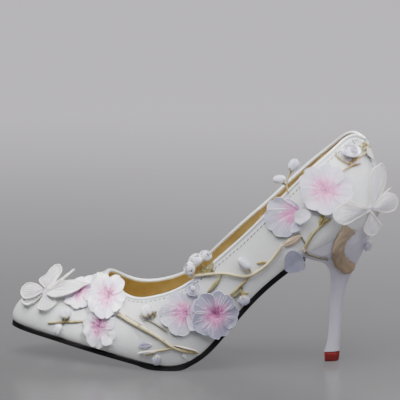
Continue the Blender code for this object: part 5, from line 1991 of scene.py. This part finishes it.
def tuft(x, z, radius, count, rise, draw):
    """Short threads that stand out from one spot on the leather."""
    middle, normal = touch(x, z)
    first, second = axes_on(normal, 0.0)
    runs = []
    for _ in range(count):
        angle = draw.uniform(0, 2 * math.pi)
        away = (first * math.cos(angle) + second * math.sin(angle)) * radius * draw.uniform(0.4, 1.0)
        high = draw.uniform(0.3, 1.4)
        points = [
            drape(middle, normal, away * share, rise + high * math.sin(2.2 * share))
            for share in (0.05, 0.4, 0.75, 1.0)
        ]
        runs.append((points, np.array([0.26, 0.3, 0.24, 0.1])))
    return runs


class COURT_SHOE_OT_branches(bpy.types.Operator):
    """Stitches the branches as twisted cords, with their leaves"""

    bl_idname = "court_shoe.branches"
    bl_label = "Branches and Leaves"

    def execute(self, context):
        for name, start, end, rise, route in BRANCHES:
            thread = finish(BRANCH_TONES.get(name, "gold"))
            made = cord_on_leather("cord_" + name, route, start, end, rise, thread)
            hand_over(made, "gold_thread", "branch_" + name)
        parts = [paint(leaf(*row), finish(tone)) for *row, tone in LEAVES]
        for start, end, rise, tone, route in TWIGS:
            parts.append(cord_on_leather("twig", route, start, end, rise, finish(tone)))
        draw = np.random.default_rng(SEED)
        for *row, tone in TUFTS:
            parts.append(threads("tuft", tuft(*row, draw), finish(tone), 0))
        hand_over(join("leaves", parts), "gold_thread")
        return {"FINISHED"}


class Wing:
    """A wing's place beside the body, and where each point of it lies."""

    tip_sag = 0.16
    thread_lift = 0.06
    vein_lift = 0.08

    def __init__(self, row, body, body_axes):
        _, self.name, tip, self.width, lift, face, self.kind, self.scallops = row
        span = Vector(tip) - body
        self.along = span.normalized()
        self.outside = (Vector(face) - self.along * self.along.dot(Vector(face))).normalized()
        self.side = self.outside.cross(self.along)
        reach_in = [self.along.dot(axis) / (size / 2) for axis, size in zip(body_axes, BODY_SIZES)]
        start = 1 / math.sqrt(sum(share * share for share in reach_in))
        self.root = body + self.along * start + self.outside * lift
        self.length = span.length - start
        share, left, right = columns(WING_SHAPES[self.kind])
        self.left, self.right = spline(share, left), spline(share, right)

    def scallop(self, turn):
        """How deep the edge is cut in between two scallops, from 0 to 1."""
        return 1 - abs(math.cos(self.scallops * math.pi * turn))

    def point(self, across, along, lift=0.0):
        """A wing's point, from -1 to 1 across and 0 to 1 along, lifted off the cloth."""
        half = self.right if across > 0 else self.left
        wide = float(half(min(max(along, 0.0), 1.0))) * self.width / 2
        edge = 1 - 0.05 * self.scallop((along + 0.3 * across) / 1.3) * along
        tip = along * (1 - self.tip_sag * across * across * along**3)
        tip *= 1 - 0.035 * self.scallop(across / 2) * along**4
        dome = (1 - across * across) * WING_CAMBER * wide * 2
        wave = 0.25 * math.sin(5 * along + 3 * across) * along
        place = self.root + self.along * (self.length * tip) - self.side * (across * wide * edge)
        return place + self.outside * (dome + wave + lift)

    def membrane(self):
        across, along = 2 * shares(WING_COLUMNS) - 1, shares(WING_ROWS)
        made = grid_of("wing", [[self.point(s, t) for s in across] for t in along])
        return note(made, "cover", WING_COVER.get(self.kind, 0.0))

    def outline(self, radius):
        rim = round_rim(np.linspace(0.0, 1.0, 26), 14)
        return [([self.point(s, t, self.thread_lift) for s, t in rim], radius)]

    def fringe(self, draw):
        """Short frayed threads along the upper edge."""
        runs = []
        for share in np.linspace(0.1, 0.94, WING_FRAYS):
            reach = draw.uniform(0.12, 0.4)
            lean = draw.uniform(-0.02, 0.07)
            places = [(-0.96 - reach * t, share + lean * t) for t in (0.0, 0.5, 1.0)]
            points = [self.point(s, t, self.thread_lift) for s, t in places]
            runs.append((points, np.array([0.3, 0.28, 0.12])))
        return runs

    def veins(self, radius):
        runs = []
        for lean, reach in WING_VEINS:
            steps = np.linspace(0.02, reach, VEIN_POINTS)
            points = [self.point(lean * t**0.5, t, self.vein_lift) for t in steps]
            runs.append((points, radius * np.linspace(1.2, 0.5, len(points))))
        return runs


class COURT_SHOE_OT_butterflies(bpy.types.Operator):
    """Cuts the sheer butterflies and sews their edges, veins, bodies and feelers"""

    bl_idname = "court_shoe.butterflies"
    bl_label = "Butterflies"

    def execute(self, context):
        sizes = context.scene.shoe_sizes
        for name, x, z, turn_deg, cut, radius in BUTTERFLIES:
            place, normal = touch(x, z)
            body = place + normal * (BODY_RISE + BODY_SIZES[2] / 2)
            axes = (*axes_on(normal, turn_deg), normal)
            wings = [Wing(row, body, axes) for row in WINGS if row[0] == name]
            cloth = join("gauze_wings_" + name, [wing.membrane() for wing in wings])
            paint(cloth, finish("gauze"))
            thicken(cloth, sizes.gauze, 0.0)
            nodes = ["butterfly_" + name + "_wing_" + wing.name for wing in wings]
            hand_over(cloth, "white_gauze", *nodes)
            sewn = hand_over(join("wing_threads_" + name, self.sew(name, wings, radius)), "white_gauze")
            hand_over(self.body(name, body, axes), "white_gauze", "butterfly_" + name + "_body")
        return {"FINISHED"}

    def sew(self, name, wings, radius):
        """The edges, veins, feelers and frays of a pair of wings, as meshes to be joined."""
        outlines = [run for wing in wings for run in wing.outline(radius)]
        veins = [run for wing in wings for run in wing.veins(radius * VEIN_SHARE)]
        draw = np.random.default_rng(SEED)
        frays = [run for wing in wings if wing.kind == "blade" for run in wing.fringe(draw)]
        return [
            threads("outlines", outlines, finish("edge"), 2),
            threads("veins", veins, finish("white")),
            threads("feelers", self.feelers(name) + frays, finish("edge")),
        ]

    def feelers(self, name):
        runs = []
        for butterfly, stops, start, end in FEELERS:
            if butterfly == name:
                at = np.linspace(0, len(stops) - 1, FEELER_POINTS)
                points = np.stack([spline(np.arange(len(stops)), c)(at) for c in columns(stops)], axis=-1)
                beads = 1 + 0.2 * np.sin(np.arange(FEELER_POINTS) * 2.4)
                runs.append((points, np.linspace(start, end, FEELER_POINTS) * beads))
        return runs

    def body(self, name, middle, axes):
        """A ringed body wound with thread, thickest at its middle."""
        steps = np.linspace(-1, 1, BODY_STEPS)
        path = [middle + axes[0] * (s * BODY_SIZES[0] / 2) for s in steps]
        thick = np.sqrt(np.maximum(1 - steps**2, 0.05)) * (1 + 0.12 * np.cos(steps * 20))
        radii = BODY_SIZES[1] / 2 * thick
        normals = [axes[2]] * len(steps)
        return cord("wound_body_" + name, path, normals, radii, finish("white"), 1.0, 12, 0.05, 0.8)


# Soft boxes: name, place and aim off the middle of the shoe in metres, size, spread, power, colour.
LIGHTS = (
    ("sky_light", (-0.1, -0.35, 1.2), (0.0, 0.0, 0.0), 1.5, 180.0, 33.0, (1.0, 0.98, 1.0)),
    ("top_light", (0.0, -0.1, 1.4), (0.0, 0.0, 0.0), 0.7, 180.0, 19.0, (1.0, 1.0, 1.0)),
    ("key_light", (-0.45, -0.5, 1.2), (0.0, 0.0, 0.0), 0.4, 180.0, 7.0, (1.0, 1.0, 0.97)),
    ("side_light", (1.1, -0.7, 0.7), (0.0, 0.0, 0.0), 0.8, 180.0, 5.0, (0.92, 0.88, 1.0)),
    ("throat_beam", (0.4, -0.6, 0.8), (-0.056, -0.025, -0.058), 0.05, 3.4, 0.02, (1.0, 1.0, 0.98)),
    ("counter_beam", (0.4, -0.75, 0.7), (0.093, -0.03, 0.034), 0.05, 3.6, 0.013, (1.0, 0.93, 1.0)),
    ("rim_light", (0.4, 1.1, 0.9), (0.0, 0.0, 0.0), 0.8, 180.0, 18.0, (1.0, 0.94, 0.97)),
)
# What the camera and the lights aim at, in metres. Then the floor, in millimetres.
STAGE_MIDDLE = (0.0227, 0.0, 0.106)
FLOOR_WIDTH = 16000.0
FLOOR_CELLS = 40
SENSOR_WIDTH = 36.0
ROOM_COLOUR = (0.82, 0.82, 0.88, 1.0)
ROOM_STRENGTH = 0.04


class COURT_SHOE_OT_stage(bpy.types.Operator):
    """Sets the pale floor, the soft boxes and the camera"""

    bl_idname = "court_shoe.stage"
    bl_label = "Studio"

    def execute(self, context):
        stage = context.scene.shoe_stage
        line = FLOOR_WIDTH * (shares(FLOOR_CELLS) - 0.5)
        across, along = np.meshgrid(line, line)
        floor = grid_of("studio_floor", np.stack([across, along, 0 * across], axis=-1))
        paint(floor, finish("floor"))
        middle = Vector(STAGE_MIDDLE)
        for name, offset, aim, size, spread_deg, power, tint in LIGHTS:
            light = self.soft_box(name, middle + Vector(offset), middle + Vector(aim))
            light.size = size
            light.spread = math.radians(spread_deg)
            light.energy = power * stage.light
            light.color = tint
        self.soft_room()
        self.camera(stage, middle)
        return {"FINISHED"}

    def soft_box(self, name, place, aim):
        bpy.ops.object.select_all(action="DESELECT")
        bpy.ops.object.light_add(type="AREA", location=place)
        light = bpy.context.object
        light.name = name
        light.data.shape = "DISK"
        light.rotation_euler = (aim - place).to_track_quat("-Z", "Y").to_euler()
        return light.data

    def soft_room(self):
        world = bpy.data.worlds.new("soft_room")
        world.use_nodes = True
        background = world.node_tree.nodes["Background"].inputs
        background["Color"].default_value = ROOM_COLOUR
        background["Strength"].default_value = ROOM_STRENGTH
        bpy.context.scene.world = world

    def camera(self, stage, middle):
        turn, high = stage.azimuth, stage.elevation
        back = Vector((math.sin(turn) * math.cos(high), -math.cos(turn) * math.cos(high), math.sin(high)))
        bpy.ops.object.select_all(action="DESELECT")
        bpy.ops.object.camera_add(location=middle + back * stage.distance)
        camera = bpy.context.object
        camera.name = "camera"
        camera.rotation_euler = (-back).to_track_quat("-Z", "Y").to_euler()
        camera.data.sensor_width = SENSOR_WIDTH
        camera.data.lens = SENSOR_WIDTH * stage.distance / stage.view_width
        bpy.context.scene.camera = camera


STEPS = (
    COURT_SHOE_OT_stage,
    COURT_SHOE_OT_upper,
    COURT_SHOE_OT_piping,
    COURT_SHOE_OT_back_strip,
    COURT_SHOE_OT_outsole,
    COURT_SHOE_OT_insole,
    COURT_SHOE_OT_heel,
    COURT_SHOE_OT_trunk,
    COURT_SHOE_OT_blossoms,
    COURT_SHOE_OT_buds,
    COURT_SHOE_OT_branches,
    COURT_SHOE_OT_butterflies,
)


class COURT_SHOE_PT_panel(bpy.types.Panel):
    """Lists the steps of the shoe, its sizes and its colours"""

    bl_idname = "COURT_SHOE_PT_panel"
    bl_label = "Court Shoe"
    bl_space_type = "VIEW_3D"
    bl_region_type = "UI"
    bl_category = "Shoe"

    def draw(self, context):
        layout = self.layout
        for step in STEPS:
            layout.operator(step.bl_idname)
        for group in (context.scene.shoe_sizes, context.scene.shoe_colours, context.scene.shoe_stage):
            box = layout.box()
            for name in group.bl_rna.properties.keys():
                if name not in ("rna_type", "name"):
                    box.prop(group, name)


CLASSES = (ShoeSizes, ShoeColours, ShoeStage, *STEPS, COURT_SHOE_PT_panel)


def register():
    for kind in CLASSES:
        bpy.utils.register_class(kind)
    bpy.types.Scene.shoe_sizes = PointerProperty(type=ShoeSizes)
    bpy.types.Scene.shoe_colours = PointerProperty(type=ShoeColours)
    bpy.types.Scene.shoe_stage = PointerProperty(type=ShoeStage)


def unregister():
    del bpy.types.Scene.shoe_stage
    del bpy.types.Scene.shoe_colours
    del bpy.types.Scene.shoe_sizes
    for kind in reversed(CLASSES):
        bpy.utils.unregister_class(kind)


def main():
    register()
    bpy.ops.court_shoe.stage()
    bpy.ops.court_shoe.upper()
    bpy.ops.court_shoe.piping()
    bpy.ops.court_shoe.back_strip()
    bpy.ops.court_shoe.outsole()
    bpy.ops.court_shoe.insole()
    bpy.ops.court_shoe.heel()
    bpy.ops.court_shoe.trunk()
    bpy.ops.court_shoe.blossoms()
    bpy.ops.court_shoe.buds()
    bpy.ops.court_shoe.branches()
    bpy.ops.court_shoe.butterflies()


if __name__ == "__main__":
    main()
